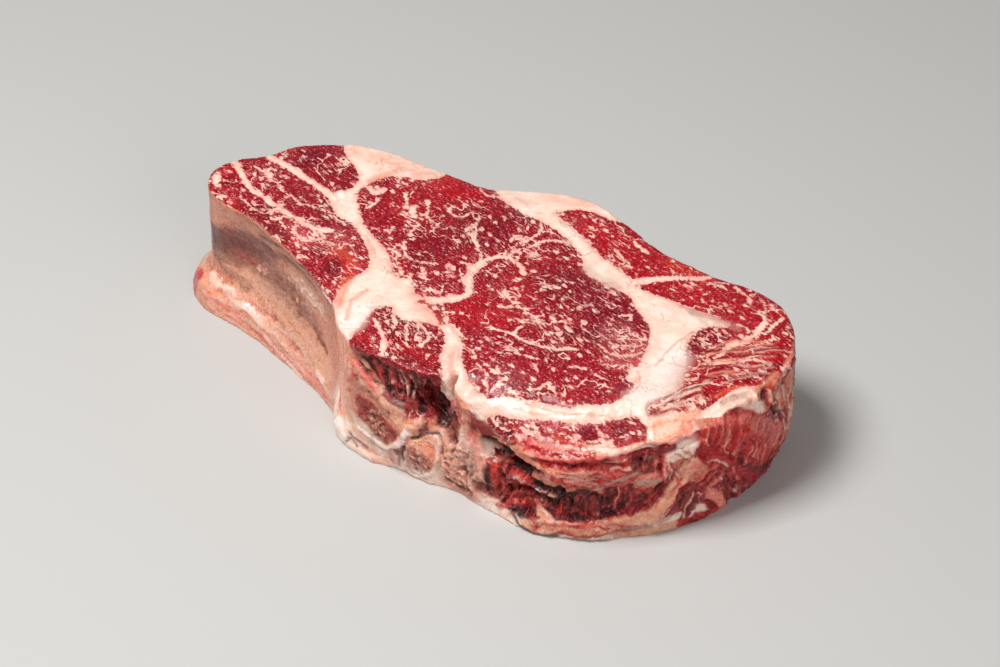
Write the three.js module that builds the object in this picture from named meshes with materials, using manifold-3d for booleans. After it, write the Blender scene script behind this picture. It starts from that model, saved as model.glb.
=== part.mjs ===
// Raw beef rib roast: one thick bone-in cut, lying on one cut face with the other one up.
// Millimetres, +Z up. X runs along the longest extent, from the rib end to the rounded outer end.
import * as THREE from "three";
import { mergeVertices } from "three/addons/utils/BufferGeometryUtils.js";
import Module from "manifold-3d";

const wasm = await Module();
wasm.setup();

// Driving dimensions.
const THICKNESS = 57; // between the two cut faces, the spacing of one rib
const GAP = 0.3; // clearance kept between neighbouring pieces
const WALL_STEP = 6.2; // spacing of the points along the cut's outline
const WALL_LEVELS = 9; // steps up the side wall
const SEAM_STEP = 5; // spacing of the points along a muscle's outline
const TOP_GRID = { cells: [32, 18], length: 330, front: -70, back: 90, crowding: 1.3 }; // of the upper face
const OVERSHOOT = 14; // how far cutters run past the wall, the floor and the top
const CENTRING = [7.0, -2.1]; // brings the middle of the plan's box to the origin

// Where the rib lies: along the straight left wall, from the rib's tip to the chine corner.
const RIB = { tip: [-133, 11], corner: [-42, -42], depth: 9, top: 53.5, hollow: 5 };
const FLAP = {
  from: [-46, -38], to: [-136, 23], reach: 10, tipHeight: 15, cornerHeight: 5.5, depth: 8, taper: 0.6, lip: 3,
};
const LEFT_WALL = { cornerMargin: 4, lineHeight: 23.5, lineSlope: 0.45 };
const CHINE = { low: 11, high: 42, muscleFoot: 29, plan: [[-27, -44], [-4, -45], [-4, -76], [-27, -76]] };
const PROCESS = { at: [3, -58], height: 14, radius: 9.5, taper: 1.5, depth: 16 };
const KNOB = { from: [-24, -57], to: [-45, -40], height: 10.5, depth: 9 };
const SHOULDER = { foot: 9, top: 29, stripFoot: 40, bellyFoot: 10, bellyTop: 46 };
const CREASE = { // between the chine muscle and the eye, deeper towards the front
  plan: [[11, -42], [14.2, -50], [15, -76], [18.5, -76], [17, -52]],
  back: { y: -42, foot: 52 },
  front: { y: -76, foot: 26 },
};

// The cut's outline at the upper face, clockwise from above, starting at the crease by the chine.
const SLAB = [
  [15, -58.5], [-8, -58], [-28, -55], [-39, -48], [-48, -36], [-70, -20], [-100, -3.5],
  [-131, 9], [-136, 20], [-131, 31], [-120.5, 39.5], [-112.5, 52], [-98, 59.5], [-77, 65],
  [-52, 63.5], [-30, 61], [-4, 69.5], [18, 71], [39, 63], [60, 53.5], [80, 49], [98, 48],
  [115.5, 43.2], [127, 29], [132, 8], [126, -15], [112, -36], [90, -54], [70, -64.5],
  [52, -67], [30, -61],
];

// How far the upper face droops at the front edge, by x: the shoulder over the front wall.
const DROOP = [
  [-200, 1.5], [10, 2], [24, 9], [36, 15], [50, 17], [70, 16], [88, 13], [102, 9], [126, 4], [200, 2],
];
const DROOP_FRONT = -15; // the droop belongs to the outline in front of this y
const EDGE_DROP = 1.2; // the rounded edge everywhere else
const EDGE_WIDTH = 4; // how far in from the wall the rounding of a level edge reaches
const DROOP_SPREAD = 1.15; // how much further in each millimetre of droop reaches
const DROOP_BEND = 1.6; // how sharply the droop turns down

// Muscle outlines on the cut faces. Points past SLAB only carry the cutter out through the wall.
const EYE = [
  [-66, 50], [-50, 54], [-42, 66], [-28, 68], [-20, 58.5], [-6, 51.5], [10, 48], [22, 42],
  [29, 37], [34, 28], [43, 24], [57, 21.5], [65, 13], [74, 5], [77, -6], [79, -20],
  [82.5, -30], [81, -37], [76, -43.5], [70, -45], [66, -48.5], [58, -50], [46, -50.5],
  [37, -51], [31, -54], [24, -53], [18, -48], [14, -41], [8, -32], [1, -27], [-5, -23],
  [-12, -16.5], [-22, -14], [-27, -6], [-33, -9], [-41, 1], [-50, 8.5], [-60, 15.5],
  [-68, 25], [-74, 35], [-70, 44],
];
const CAP = [
  [8, 57.5], [14, 62], [24, 64], [33, 63], [40, 72], [56, 66], [74, 60], [86, 56], [79, 46.5],
  [71, 41.5], [63, 38], [58, 34.5], [53, 31.5], [47, 36], [40, 38.5], [31, 44], [22, 50], [13, 54],
];
const END = [
  [58, 28.5], [63, 33], [71, 38.5], [81, 44], [90, 56], [104, 57], [122, 52], [137, 34],
  [144, 8], [136, -4], [122, -10], [116, -19], [111, -28], [103, -33], [96, -39], [92, -39],
  [95, -31], [99, -24], [98, -15], [94, -5], [91, 5], [92, 13], [97, 18.5], [104, 21],
  [97, 23.5], [85, 24.5], [72, 26],
];
const END_BELLY = [ // the part of the end muscle that bulges out under the shoulder's fat
  [120, 10], [146, 4], [142, -18], [128, -40], [110, -33], [104, -20],
];
const STRIP = [
  [33, -59.5], [45, -57.5], [56, -56.5], [67, -54.5], [77, -50.5], [85, -44.8], [91, -42],
  [95, -43.5], [97, -52], [92, -64], [72, -78], [50, -80], [36, -74],
];
const SHOULDER_MUSCLE = [
  [38, -52], [60, -54], [80, -49], [100, -34], [116, -44], [96, -68], [70, -82], [44, -80], [34, -66],
];
const CHINE_MUSCLE = [
  [-30, -29], [-26, -27], [-20, -33], [-13, -31.5], [-4, -30], [1, -33], [4, -39], [6, -48],
  [11, -54], [11, -74], [-22, -74], [-30, -62], [-31, -46],
];
const INTERCOSTAL = [
  [-146, 10], [-148, 30], [-128, 45], [-120, 37.5], [-110, 35], [-93, 30], [-84, 26],
  [-75, 17], [-64, 13], [-56, 5.5], [-50, -1], [-46, -9], [-49, -19], [-50.5, -26],
  [-50, -34], [-60, -48], [-90, -30], [-120, -12],
];
const FLANK = [
  [-128, 50], [-116, 66], [-99, 70], [-92, 56], [-84, 49.5], [-78, 44], [-77.5, 36],
  [-83, 30.5], [-92, 33], [-105, 37.5], [-119, 41.5],
];

// Lumps and hollows of the side wall: place on the outline, height, half width, half height, how
// far out (+) or in (-).
const WALL_RELIEF = [
  { at: [-14, -57], z: 26, wide: 14, tall: 12, out: 2 }, // chine bone
  { at: [-6, -58], z: 17, wide: 8, tall: 8, out: 1.5 }, // cartilage beside it
  { at: [3, -58], z: 14, wide: 9, tall: 9, out: 3 }, // round process bone
  { at: [-39, -48], z: 4, wide: 11, tall: 7, out: 4 }, // white knob
  { at: [-14, -57], z: 49, wide: 16, tall: 7, out: -4 }, // torn meat over the chine
  { at: [10, -58.5], z: 40, wide: 8, tall: 12, out: -9 }, // dark pocket by the crease
  { at: [24, -60], z: 14, wide: 12, tall: 18, out: 1.5 }, // rough fat column
  { at: [36, -63], z: 34, wide: 15, tall: 6, out: -9 }, // gap under the drooping shoulder
  { at: [47, -66], z: 17, wide: 11, tall: 10, out: -4 }, // ragged folds
  { at: [76, -62], z: 35, wide: 18, tall: 5, out: 2.5 }, // fold of fat
  { at: [74, -63], z: 19, wide: 20, tall: 7, out: -2.5 }, // fibrous muscle set back
  { at: [76, -62], z: 4, wide: 28, tall: 6, out: 1 }, // rim of fat at the foot
  { at: [104, -43], z: 50, wide: 9, tall: 8, out: 2 }, // smooth lump at the shoulder's end
  { at: [120, -25], z: 55, wide: 11, tall: 6, out: -2 }, // top of the shoulder drawn in
  { at: [127, -12], z: 33, wide: 14, tall: 14, out: 2.5 }, // belly of the end muscle
];
const END_UNDERCUT = { from: 106, full: 134, inset: 6, height: 24 }; // outer end rounds under
const RAGGED = { torn: 0.9, elsewhere: 0.36, front: -20, left: -30 }; // height of the wall's unevenness
const CROWN = 0.7; // height of the unevenness of the cut face

const underFloor = () => -OVERSHOOT;
const overTop = () => THICKNESS + OVERSHOOT;

// A closed smooth curve through points, sampled evenly.
function smoothOutline(points, step) {
  const curve = new THREE.CatmullRomCurve3(points.map(([x, y]) => new THREE.Vector3(x, y, 0)), true);
  const count = Math.round(curve.getLength() / step);
  return curve.getSpacedPoints(count).slice(0, count).map((p) => new THREE.Vector2(p.x, p.y));
}

// Outward unit normals of a closed polygon, at its corners.
function outwardNormals(outline) {
  const turn = THREE.ShapeUtils.isClockWise(outline) ? -1 : 1;
  return outline.map((p, i) => {
    const before = outline.at(i - 1);
    const after = outline[(i + 1) % outline.length];
    return new THREE.Vector2(turn * (after.y - before.y), -turn * (after.x - before.x)).normalize();
  });
}

const slabOutline = smoothOutline(SLAB, WALL_STEP);
const slabNormals = outwardNormals(slabOutline);

// Distance of a plan point from the slab's outline.
function edgeDistance(x, y) {
  const p = new THREE.Vector2(x, y);
  let nearest = Infinity;
  slabOutline.forEach((a, i) => {
    const side = slabOutline[(i + 1) % slabOutline.length].clone().sub(a);
    const along = THREE.MathUtils.clamp(p.clone().sub(a).dot(side) / side.lengthSq(), 0, 1);
    nearest = Math.min(nearest, a.clone().addScaledVector(side, along).distanceTo(p));
  });
  return nearest;
}

function insideSlab(x, y) {
  let inside = false;
  slabOutline.forEach((a, i) => {
    const b = slabOutline[(i + 1) % slabOutline.length];
    const crosses = a.y > y !== b.y > y && x < ((b.x - a.x) * (y - a.y)) / (b.y - a.y) + a.x;
    inside = crosses ? !inside : inside;
  });
  return inside;
}

function droopAt(x) {
  const after = DROOP.findIndex(([at]) => at > x);
  const [x0, d0] = DROOP[after - 1];
  const [x1, d1] = DROOP[after];
  return THREE.MathUtils.mapLinear(x, x0, x1, d0, d1);
}

// Height of the upper cut face: level inside, rounded off at the edge, drooping at the front.
function topHeight(x, y) {
  const drop = y < DROOP_FRONT ? droopAt(x) : EDGE_DROP;
  const width = EDGE_WIDTH + drop * DROOP_SPREAD;
  const inward = insideSlab(x, y) ? edgeDistance(x, y) : 0;
  const crown = CROWN * (Math.sin(x / 17) * Math.cos(y / 13 + 1) + 0.5 * Math.sin((x - y) / 9));
  return THICKNESS - drop * Math.max(0, 1 - inward / width) ** DROOP_BEND + crown;
}

// The left wall is the part of the outline in front of a slanting line through the slab.
function onLeftWall(x, y) {
  const { cornerMargin, lineHeight, lineSlope } = LEFT_WALL;
  return x < RIB.corner[0] + cornerMargin && y < lineHeight - (x - RIB.tip[0]) * lineSlope;
}

// 0 at the rib's tip, 1 at the chine corner, for a point of the left wall.
function alongRib(x) {
  return THREE.MathUtils.clamp((x - RIB.tip[0]) / (RIB.corner[0] - RIB.tip[0]), 0, 1);
}

function flapHeight(x) {
  return THREE.MathUtils.lerp(FLAP.tipHeight, FLAP.cornerHeight, alongRib(x));
}

// Outward shift of the wall over the outline's point (x, y), at a height z.
function wallOffset(x, y, z) {
  let out = 0;
  for (const lump of WALL_RELIEF) {
    const sideways = Math.hypot(x - lump.at[0], y - lump.at[1]) / lump.wide;
    const upward = (z - lump.z) / lump.tall;
    out += lump.out * Math.exp(-(sideways ** 2) - upward ** 2);
  }
  if (onLeftWall(x, y)) {
    const along = alongRib(x);
    const foot = flapHeight(x);
    const arch = Math.sin(Math.PI * THREE.MathUtils.clamp((z - foot) / (THICKNESS - foot), 0, 1));
    const fading = THREE.MathUtils.smoothstep(along, 0.75, 1); // the hollow fades towards the corner
    out -= RIB.hollow * arch * (THREE.MathUtils.smoothstep(along, 0, 0.3) - 0.7 * fading);
    out += FLAP.reach * (1 - along) ** FLAP.taper * THREE.MathUtils.smoothstep(foot + FLAP.lip - z, 0, foot);
  }
  const undercut = THREE.MathUtils.smoothstep(x, END_UNDERCUT.from, END_UNDERCUT.full);
  out -= END_UNDERCUT.inset * undercut * Math.max(0, 1 - z / END_UNDERCUT.height) ** 2;
  const torn = y < RAGGED.front && x > RAGGED.left ? RAGGED.torn : RAGGED.elsewhere;
  return out + torn * Math.sin(x / 4.1 + z / 7) * Math.sin(y / 5.3 + z / 4.6);
}

// A closed mesh as a solid, its shared corners merged.
function solidOf(geometry) {
  const bare = geometry.clone();
  bare.deleteAttribute("normal");
  bare.deleteAttribute("uv");
  const merged = mergeVertices(bare, 1e-4);
  return new wasm.Manifold(new wasm.Mesh({
    numProp: 3,
    vertProperties: new Float32Array(merged.attributes.position.array),
    triVerts: new Uint32Array(merged.index.array),
  }));
}

// An upright block over an outline, its foot and top following functions of x and y.
function prism(outline, foot, top) {
  const geometry = new THREE.ExtrudeGeometry(new THREE.Shape(outline), { depth: 1, bevelEnabled: false });
  const position = geometry.attributes.position;
  for (let i = 0; i < position.count; i += 1) {
    const height = position.getZ(i) > 0.5 ? top : foot;
    position.setZ(i, height(position.getX(i), position.getY(i)));
  }
  return solidOf(geometry);
}

// A cutter and the slightly larger one that clears room for it in its neighbours.
function cutterPair(outline, foot, top) {
  const normals = outwardNormals(outline);
  const grown = outline.map((p, i) => p.clone().addScaledVector(normals[i], GAP));
  return {
    cutter: prism(outline, foot, top),
    room: prism(grown, (x) => foot(x) - GAP, (x) => top(x) + GAP),
  };
}

function nearestIndex(x, y) {
  return slabOutline.reduce(
    (best, p, i) => (p.distanceToSquared({ x, y }) < slabOutline[best].distanceToSquared({ x, y }) ? i : best), 0,
  );
}

// A band that follows the wall from one plan point round to another, reaching in by a depth.
function wallBand(from, to, depth) {
  const first = nearestIndex(...from);
  const last = nearestIndex(...to);
  const shifted = (out) => slabOutline.slice(first, last + 1)
    .map((p, i) => p.clone().addScaledVector(slabNormals[first + i], out));
  return [...shifted(OVERSHOOT), ...shifted(-depth).reverse()];
}

// The whole cut: the outline raised with its uneven wall, then met by the upper face.
function wholeCut() {
  const wall = new THREE.ExtrudeGeometry(new THREE.Shape(slabOutline), {
    depth: THICKNESS + OVERSHOOT, steps: WALL_LEVELS, bevelEnabled: false,
  });
  const position = wall.attributes.position;
  for (let i = 0; i < position.count; i += 1) {
    const x = position.getX(i);
    const y = position.getY(i);
    const nearest = nearestIndex(x, y);
    const shift = wallOffset(x, y, Math.min(position.getZ(i), THICKNESS));
    position.setX(i, x + slabNormals[nearest].x * shift);
    position.setY(i, y + slabNormals[nearest].y * shift);
  }

  const { cells, length, front, back, crowding } = TOP_GRID;
  const lid = new THREE.BoxGeometry(length, 1, THICKNESS * 2, ...cells, 1);
  const lidPosition = lid.attributes.position;
  for (let i = 0; i < lidPosition.count; i += 1) {
    const row = lidPosition.getY(i) + 0.5;
    const x = lidPosition.getX(i);
    const y = THREE.MathUtils.lerp(front, back, row ** crowding); // finer rows over the drooping front
    lidPosition.setY(i, y);
    lidPosition.setZ(i, lidPosition.getZ(i) > 0 ? topHeight(x, y) : -THICKNESS);
  }
  return solidOf(wall).intersect(solidOf(lid));
}

// The narrow crease between the chine muscle and the eye, open at the top and the front.
function crease() {
  const { plan, back, front } = CREASE;
  const foot = (x, y) => THREE.MathUtils.mapLinear(y, back.y, front.y, back.foot, front.foot);
  return prism(plan.map((p) => new THREE.Vector2(...p)), foot, overTop);
}

const slab = wholeCut().subtract(crease());

const ribPlan = wallBand(RIB.corner, RIB.tip, RIB.depth);
const flapPlan = wallBand(FLAP.from, FLAP.to, FLAP.depth);
const knobPlan = wallBand(KNOB.from, KNOB.to, KNOB.depth);
const chinePlan = CHINE.plan.map((p) => new THREE.Vector2(...p));

// A round bone end that points out through the chine face.
function processCutter(grow) {
  const { at, height, radius, taper, depth } = PROCESS;
  const geometry = new THREE.CylinderGeometry(radius + grow, radius - taper + grow, (depth + grow) * 2, 20);
  geometry.translate(at[0], at[1], height);
  return solidOf(geometry);
}

const parts = {};
let taken = null;

function claim(name, cutter, room) {
  parts[name] = taken ? slab.intersect(cutter).subtract(taken) : slab.intersect(cutter);
  taken = taken ? taken.add(room) : room;
}

function claimPlan(name, outline, foot = underFloor, top = overTop) {
  const { cutter, room } = cutterPair(outline, foot, top);
  claim(name, cutter, room);
}

// Bones first, since the meat lies round them.
claim("process_bone", processCutter(0), processCutter(GAP));
claimPlan("cartilage_knob", knobPlan, underFloor, () => KNOB.height);
claimPlan("chine_bone", chinePlan, () => CHINE.low, () => CHINE.high);
claimPlan("rib_flap", flapPlan, underFloor, flapHeight);
claimPlan("rib_bone", ribPlan, flapHeight, () => RIB.top);

// Muscles, running through from one cut face to the other.
claimPlan("strip_muscle", smoothOutline(STRIP, SEAM_STEP), () => SHOULDER.stripFoot);
claimPlan("shoulder_muscle", smoothOutline(SHOULDER_MUSCLE, SEAM_STEP), () => SHOULDER.foot, () => SHOULDER.top);
claimPlan("chine_muscle", smoothOutline(CHINE_MUSCLE, SEAM_STEP), () => CHINE.muscleFoot);
claimPlan("eye_muscle", smoothOutline(EYE, SEAM_STEP));
claimPlan("cap_muscle", smoothOutline(CAP, SEAM_STEP));
claimPlan("intercostal_muscle", smoothOutline(INTERCOSTAL, SEAM_STEP));
claimPlan("flank_muscle", smoothOutline(FLANK, SEAM_STEP));
{
  const main = cutterPair(smoothOutline(END, SEAM_STEP), underFloor, overTop);
  const belly = cutterPair(
    smoothOutline(END_BELLY, SEAM_STEP), () => SHOULDER.bellyFoot, () => SHOULDER.bellyTop,
  );
  claim("end_muscle", main.cutter.add(belly.cutter), main.room.add(belly.room));
}

// The fat that joins everything, with the two caps on the far edge.
parts.seam_fat = slab.subtract(taken);

function meshOf(name, finish) {
  const { vertProperties, triVerts } = parts[name].getMesh();
  const geometry = new THREE.BufferGeometry();
  geometry.setAttribute("position", new THREE.BufferAttribute(new Float32Array(vertProperties), 3));
  geometry.setIndex(new THREE.BufferAttribute(new Uint32Array(triVerts), 1));
  geometry.computeVertexNormals();
  const mesh = new THREE.Mesh(geometry, new THREE.MeshStandardMaterial({ metalness: 0, ...finish }));
  mesh.name = name;
  return mesh;
}

const finishes = {
  eye_muscle: { color: 0x9c2533, roughness: 0.42 },
  cap_muscle: { color: 0xa82a36, roughness: 0.42 },
  end_muscle: { color: 0xb02c3a, roughness: 0.4 },
  strip_muscle: { color: 0xa33340, roughness: 0.42 },
  shoulder_muscle: { color: 0x8f1a28, roughness: 0.4 },
  chine_muscle: { color: 0x9a2a35, roughness: 0.42 },
  intercostal_muscle: { color: 0xa22a37, roughness: 0.4 },
  flank_muscle: { color: 0x96202e, roughness: 0.42 },
  seam_fat: { color: 0xf0d6c8, roughness: 0.45 },
  rib_bone: { color: 0xb39c88, roughness: 0.35 },
  rib_flap: { color: 0xd2a18f, roughness: 0.32 },
  chine_bone: { color: 0xc9a08a, roughness: 0.6 },
  process_bone: { color: 0xc08f80, roughness: 0.55 },
  cartilage_knob: { color: 0xeadfd2, roughness: 0.3 },
};

const roast = new THREE.Group();
for (const [name, finish] of Object.entries(finishes)) {
  roast.add(meshOf(name, finish));
}
roast.position.set(...CENTRING, 0);

export default roast;
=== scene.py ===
import math
import bmesh
import bpy
import numpy as np
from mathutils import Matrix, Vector
from mathutils.bvhtree import BVHTree
from mathutils.kdtree import KDTree


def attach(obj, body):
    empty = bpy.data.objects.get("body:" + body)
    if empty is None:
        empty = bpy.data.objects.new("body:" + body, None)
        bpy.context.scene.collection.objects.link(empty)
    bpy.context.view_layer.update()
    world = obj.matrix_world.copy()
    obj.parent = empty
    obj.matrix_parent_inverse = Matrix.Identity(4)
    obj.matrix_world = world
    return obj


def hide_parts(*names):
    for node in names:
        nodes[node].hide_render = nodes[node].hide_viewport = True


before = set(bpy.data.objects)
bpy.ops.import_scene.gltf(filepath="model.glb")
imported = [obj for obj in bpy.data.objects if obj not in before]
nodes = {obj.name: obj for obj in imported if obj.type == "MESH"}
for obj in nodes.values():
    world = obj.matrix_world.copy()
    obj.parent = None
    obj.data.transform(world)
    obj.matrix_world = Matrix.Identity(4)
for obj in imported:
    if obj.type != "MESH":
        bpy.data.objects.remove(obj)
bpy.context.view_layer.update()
scene = bpy.context.scene
mm = 0.001

# what the whole roast shares

roast = {
    "middle": (7.0, -2.1),  # from the outline's own origin to the part's
    # outline of the upper face, counter-clockwise from the rib's tip
    "outline": [
        (-136, 20), (-131, 9), (-100, -3.5), (-70, -20), (-48, -36), (-39, -48), (-28, -55), (-8, -58),
        (15, -58.5), (30, -61), (52, -67), (70, -64.5), (90, -54), (112, -36), (126, -15), (132, 8),
        (127, 29), (115.5, 43.2), (98, 48), (80, 49), (60, 53.5), (39, 63), (18, 71), (-4, 69.5),
        (-30, 61), (-52, 63.5), (-77, 65), (-98, 59.5), (-112.5, 52), (-120.5, 39.5), (-131, 31),
    ],
    "top": 57,
    "rim": 45,  # the veins run over the rounded rim down to here
    "ledges": 53,  # the ledges beside the strip lie below this
    "foot": 20,  # what looks up below this belongs to the wall
    "tip": 30,  # the last stretch of the outline, beside the rib's tip, counts from below 0
    "torn": (132, 142),  # where the torn front wall begins, round the outline
    "back": (352, 372),  # and where the back does
    "grain": 0.68,  # spacing of the fine surface
    "grow": 0.25,  # closes the gaps between the solids before the surface is made
    "smoothing": 16,
}
bones = ["rib_bone", "rib_flap", "chine_bone", "process_bone", "cartilage_knob"]
muscles = {  # how marbled each one is
    "eye_muscle": 0.55, "cap_muscle": 0.62, "end_muscle": 0.5, "strip_muscle": 0.6, "shoulder_muscle": 0.2,
    "chine_muscle": 0.85, "intercostal_muscle": 0.6, "flank_muscle": 0.35,
}
slots = {
    "shoulder_muscle": "fibrous_meat", "seam_fat": "fat", "rib_bone": "rib_membrane",
    "rib_flap": "flap_membrane", "chine_bone": "sawn_bone", "process_bone": "sawn_bone",
    "cartilage_knob": "cartilage",
}

colours = {
    "cream": (250, 223, 206), "fat": (246, 204, 184), "peach": (244, 176, 146), "pink": (236, 138, 122),
    "rose": (204, 74, 68), "tan": (214, 142, 114), "greyTan": (162, 108, 86), "brown": (112, 52, 38),
    "bone": (230, 176, 148), "marrow": (172, 76, 62), "red": (190, 24, 36), "crimson": (150, 4, 24),
    # the darkest colour below is painted shadow, for the gaps, cracks and hollows of the torn wall
    "deepRed": (92, 6, 14), "maroon": (58, 4, 8), "black": (22, 3, 4), "orange": (228, 98, 58),
    "wine": (104, 8, 36), "violet": (142, 104, 112), "white": (254, 238, 230), "blood": (208, 14, 30),
    "grey": (196, 162, 148), "garnet": (118, 2, 20), "flesh": (184, 14, 42), "rosy": (246, 146, 144),
}


def linear(name):
    return [(c / 255 / 12.92) if c < 11 else ((c / 255 + 0.055) / 1.055) ** 2.4 for c in colours[name]]


# strokes lie in millimetres, over the cut face or round the wall and up it; a string holds places in the
# camera's frame of 1000 by 667 instead, and the stroke lies on what is seen there

veins = [  # lines of fat in the cut face: half width, then points
    (1.9, [(1.5, 12), (0.5, 6), (1.5, 0), (4.5, -5), (5, -9), (2, -13), (-3, -17), (-10, -19)]),
    (0.75, [(1, 13), (-2, 17.5), (-5, 21.5), (-8, 24), (-12, 27), (-14, 30)]),
    (0.95, [(2, 14), (5, 18), (9, 20), (13, 19), (17, 17.5), (20, 13.5)]),
    (0.6, [(10, 25), (13, 28.5), (16, 32), (18, 36), (22, 38.5), (30, 40)]),
    (0.5, [(11, 31), (13, 36), (14.5, 41), (12.5, 46)]),
    (0.5, [(37, 10), (34, 10.5), (31.5, 11), (31, 8), (30, 4)]),
    (0.5, [(20, -2), (24, -6), (28, -5)]),
    (0.55, [(23, -10), (28, -8), (34, -10), (39, -12.5)]),
    (0.75, [(22, -24), (27, -23.5), (32, -23), (37, -25.5), (43, -26), (48, -25.5), (53, -24.5), (57, -22),
            (60, -21)]),
    (0.6, [(34, -18.5), (33, -21), (34, -24)]),
    (0.55, [(-38, 3.5), (-33, 2.5), (-31.5, -1), (-29, -4), (-26.5, -7), (-24.5, -9)]),
    (0.35, [(-34, -3), (-31, -6.5), (-28, -9)]),
    (0.5, [(-33, 10), (-31, 6), (-29, 2.6), (-24, 1.5), (-19, 2), (-15, 3.2)]),
    (0.6, [(-37, 40), (-36, 37), (-34, 33), (-33, 30), (-30, 28), (-26, 26)]),
    (0.55, [(-27, 39), (-25, 36), (-22, 35), (-19, 36), (-18, 39.5)]),
    (0.5, [(-48, 41), (-46, 37), (-44, 34)]),
    (0.45, [(-55, 49), (-54.5, 45), (-53, 42)]),
    (1.3, [(-40, 32), (-39, 28.5), (-37, 27)]),
    (1.9, [(-63, 36.5), (-59.5, 35), (-58, 37)]),
    (0.5, [(-42, 17.5), (-41.5, 13.5)]),
    (0.6, [(-57, 32), (-56, 28), (-58, 24)]),
    (1.0, [(67, 6), (70, 8), (71, 5)]),
    (0.55, [(52, -49), (56, -47), (58, -44), (60, -45.5), (63, -47)]),
    (0.5, [(22, -38), (26, -43), (30, -47.5)]),
    (0.45, [(36, -44), (38, -46.5), (41, -45)]),
    (0.6, [(41, -49), (38.5, -53)]),
    (2.2, [(86, -21), (86.5, -26)]),
    (0.6, [(-4, -18), (0, -20.5), (3, -23.5), (6, -27), (10, -30), (17, -34)]),
    (0.6, [(5.5, 34), (6.5, 30)]),
    (0.45, [(4, 8.5), (8, 7.5), (11, 7)]),
    (0.6, [(31, 9), (34, 9), (36, 10)]),
    (0.5, [(12, -2), (16, -2), (18.5, -4.5)]),
    (0.8, [(20, -3), (23, -5.5), (27, -6)]),
    (0.5, [(25, -7), (24, -10), (21, -10)]),
    (0.7, [(32, -10), (37, -9.5)]),
    (0.5, [(48, -6), (50, -10), (53, -12)]),
    (0.4, [(-6, 9), (-3, 8), (-1, 6)]),
    (0.5, [(11.5, 25), (8.5, 28), (9.5, 22), (8.5, 20)]),
    (0.45, [(-20, 34.5), (-24, 35), (-27, 38), (-29, 40)]),
    (0.5, [(64, 0), (68, -2), (71, -5), (75, -4)]),
    (0.5, [(66, -9), (70, -11), (76, -10), (81, -7)]),
    (0.5, [(68, -15), (73, -17), (79, -15), (83, -11)]),
    (0.45, [(73, -1), (77, -3), (82, -3)]),
    (0.4, [(62, -31), (69, -29.5), (76, -32)]),
    (0.4, [(35, -33), (41, -34), (48, -33)]),
    # intercostal
    (1.35, [(-124, 27.5), (-117, 22), (-112, 17), (-107, 14), (-101, 12), (-96, 9.5), (-91, 7.5), (-86, 5.5),
            (-80, 4.5), (-75, 2), (-69, 2.3), (-64, 4)]),
    (0.6, [(-113, 27.5), (-108, 26), (-104, 24), (-100, 22), (-95, 19.5), (-90, 17.5), (-86, 15)]),
    (0.7, [(-85, 14), (-80, 15), (-74, 14), (-66, 12.5), (-60, 10.5)]),
    (0.5, [(-110, 8), (-105, 5.5), (-101, 2)]),
    (0.6, [(-92, 7), (-92, 3), (-89, -0.5), (-85, 2.5), (-82, 4)]),
    (0.7, [(-80, 4), (-79, 0), (-78, -4), (-73, -6.5), (-70, -7), (-67, -4.5), (-65, -1), (-70, 2)]),
    (0.5, [(-65, -5), (-62, -3), (-58, -4)]),
    (1.5, [(-113, 16)]),
    (1.3, [(-125.5, 15), (-124, 12)]),
    # cap and end
    (0.7, [(48, 44), (53, 40), (57, 37)]),
    (0.8, [(52, 52), (56, 50), (60, 48)]),
    (0.7, [(126, 34), (124.5, 30), (124, 25), (122.5, 21)]),
    (1.5, [(120.5, 28), (120, 23), (119.5, 18), (117, 13), (114.5, 10), (113, 6)]),
    (0.8, [(113, 6), (112.5, 2), (111.5, -1)]),
    (0.7, [(121, 27), (119, 31), (116, 32.5)]),
    (0.6, [(117, 19), (115, 21), (112, 21.5)]),
    (1, [(108.5, -4), (112, -4.5), (116, -2), (119, 0)]),
    (0.7, [(119, 0), (124, 3), (129, 4.5), (133, 4)]),
    (0.5, [(121, 12), (124, 15), (127, 21), (129, 22)]),
    (0.6, [(103, 5), (105, 3), (108, 5)]),
    (0.4, [(104, 15), (108, 12), (111, 13)]),
    (0.5, [(125, -3), (129, -6), (133, -6)]),
    (0.4, [(104, -3), (107, -7), (106, -12)]),
    (0.7, [(63.5, 26.5), (65, 30), (66.5, 32)]),
    (0.5, [(90, 40), (93, 43), (97, 44)]),
    (0.6, [(101, 43.5), (105, 41.5), (109, 39), (110, 36)]),
    (0.5, [(113, 41), (117, 38), (118, 33)]),
    (0.5, [(90, 41), (95, 41.3), (99, 40)]),
    (0.5, [(93, 36), (92, 31), (94, 27)]),
    (0.5, [(101, 7), (106, 5.5)]),
    (0.6, [(104, -26), (107, -28), (108, -31)]),
    (0.5, [(112, -20), (115, -17), (120, -16)]),
    # strip at the front
    (0.35, "488,426 496,430 508,431 520,429 530,426 533,421"),
    (0.5, "522,431 531,435 541,438 552,443 564,447 578,449 590,448 602,446 611,442"),
    (0.6, "540,442 552,446 566,450 580,452 594,450 606,450 618,452"),
    (0.4, "533,422 536,429 540,437"),
    (0.35, "594,427 600,435 601,441"),
    (0.3, "618,439 626,436 632,433"),
    (0.3, "505,424 512,422 520,423"),
    (0.9, "604,442 612,446 618,451 630,450 641,446"),
    (0.3, "560,434 570,437 580,436"),
    (0.35, "536,455 548,457 560,459 578,460 592,458 606,455 620,453"),
    (0.3, "545,447 556,451 568,454"),
    (0.3, "572,441 584,443 598,441"),
    # chine
    (0.55, [(-18, -29), (-16, -33), (-13, -37), (-12, -41)]),
    (1.05, [(-21, -40), (-18, -43.5), (-14, -47), (-10.5, -51.5), (-9, -57)]),
    (0.5, [(-8, -36), (-6, -41), (-3, -45)]),
    (0.8, [(1, -37), (4, -41), (3, -46)]),
    (0.6, [(-5, -33), (0, -36), (6, -38)]),
]
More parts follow.
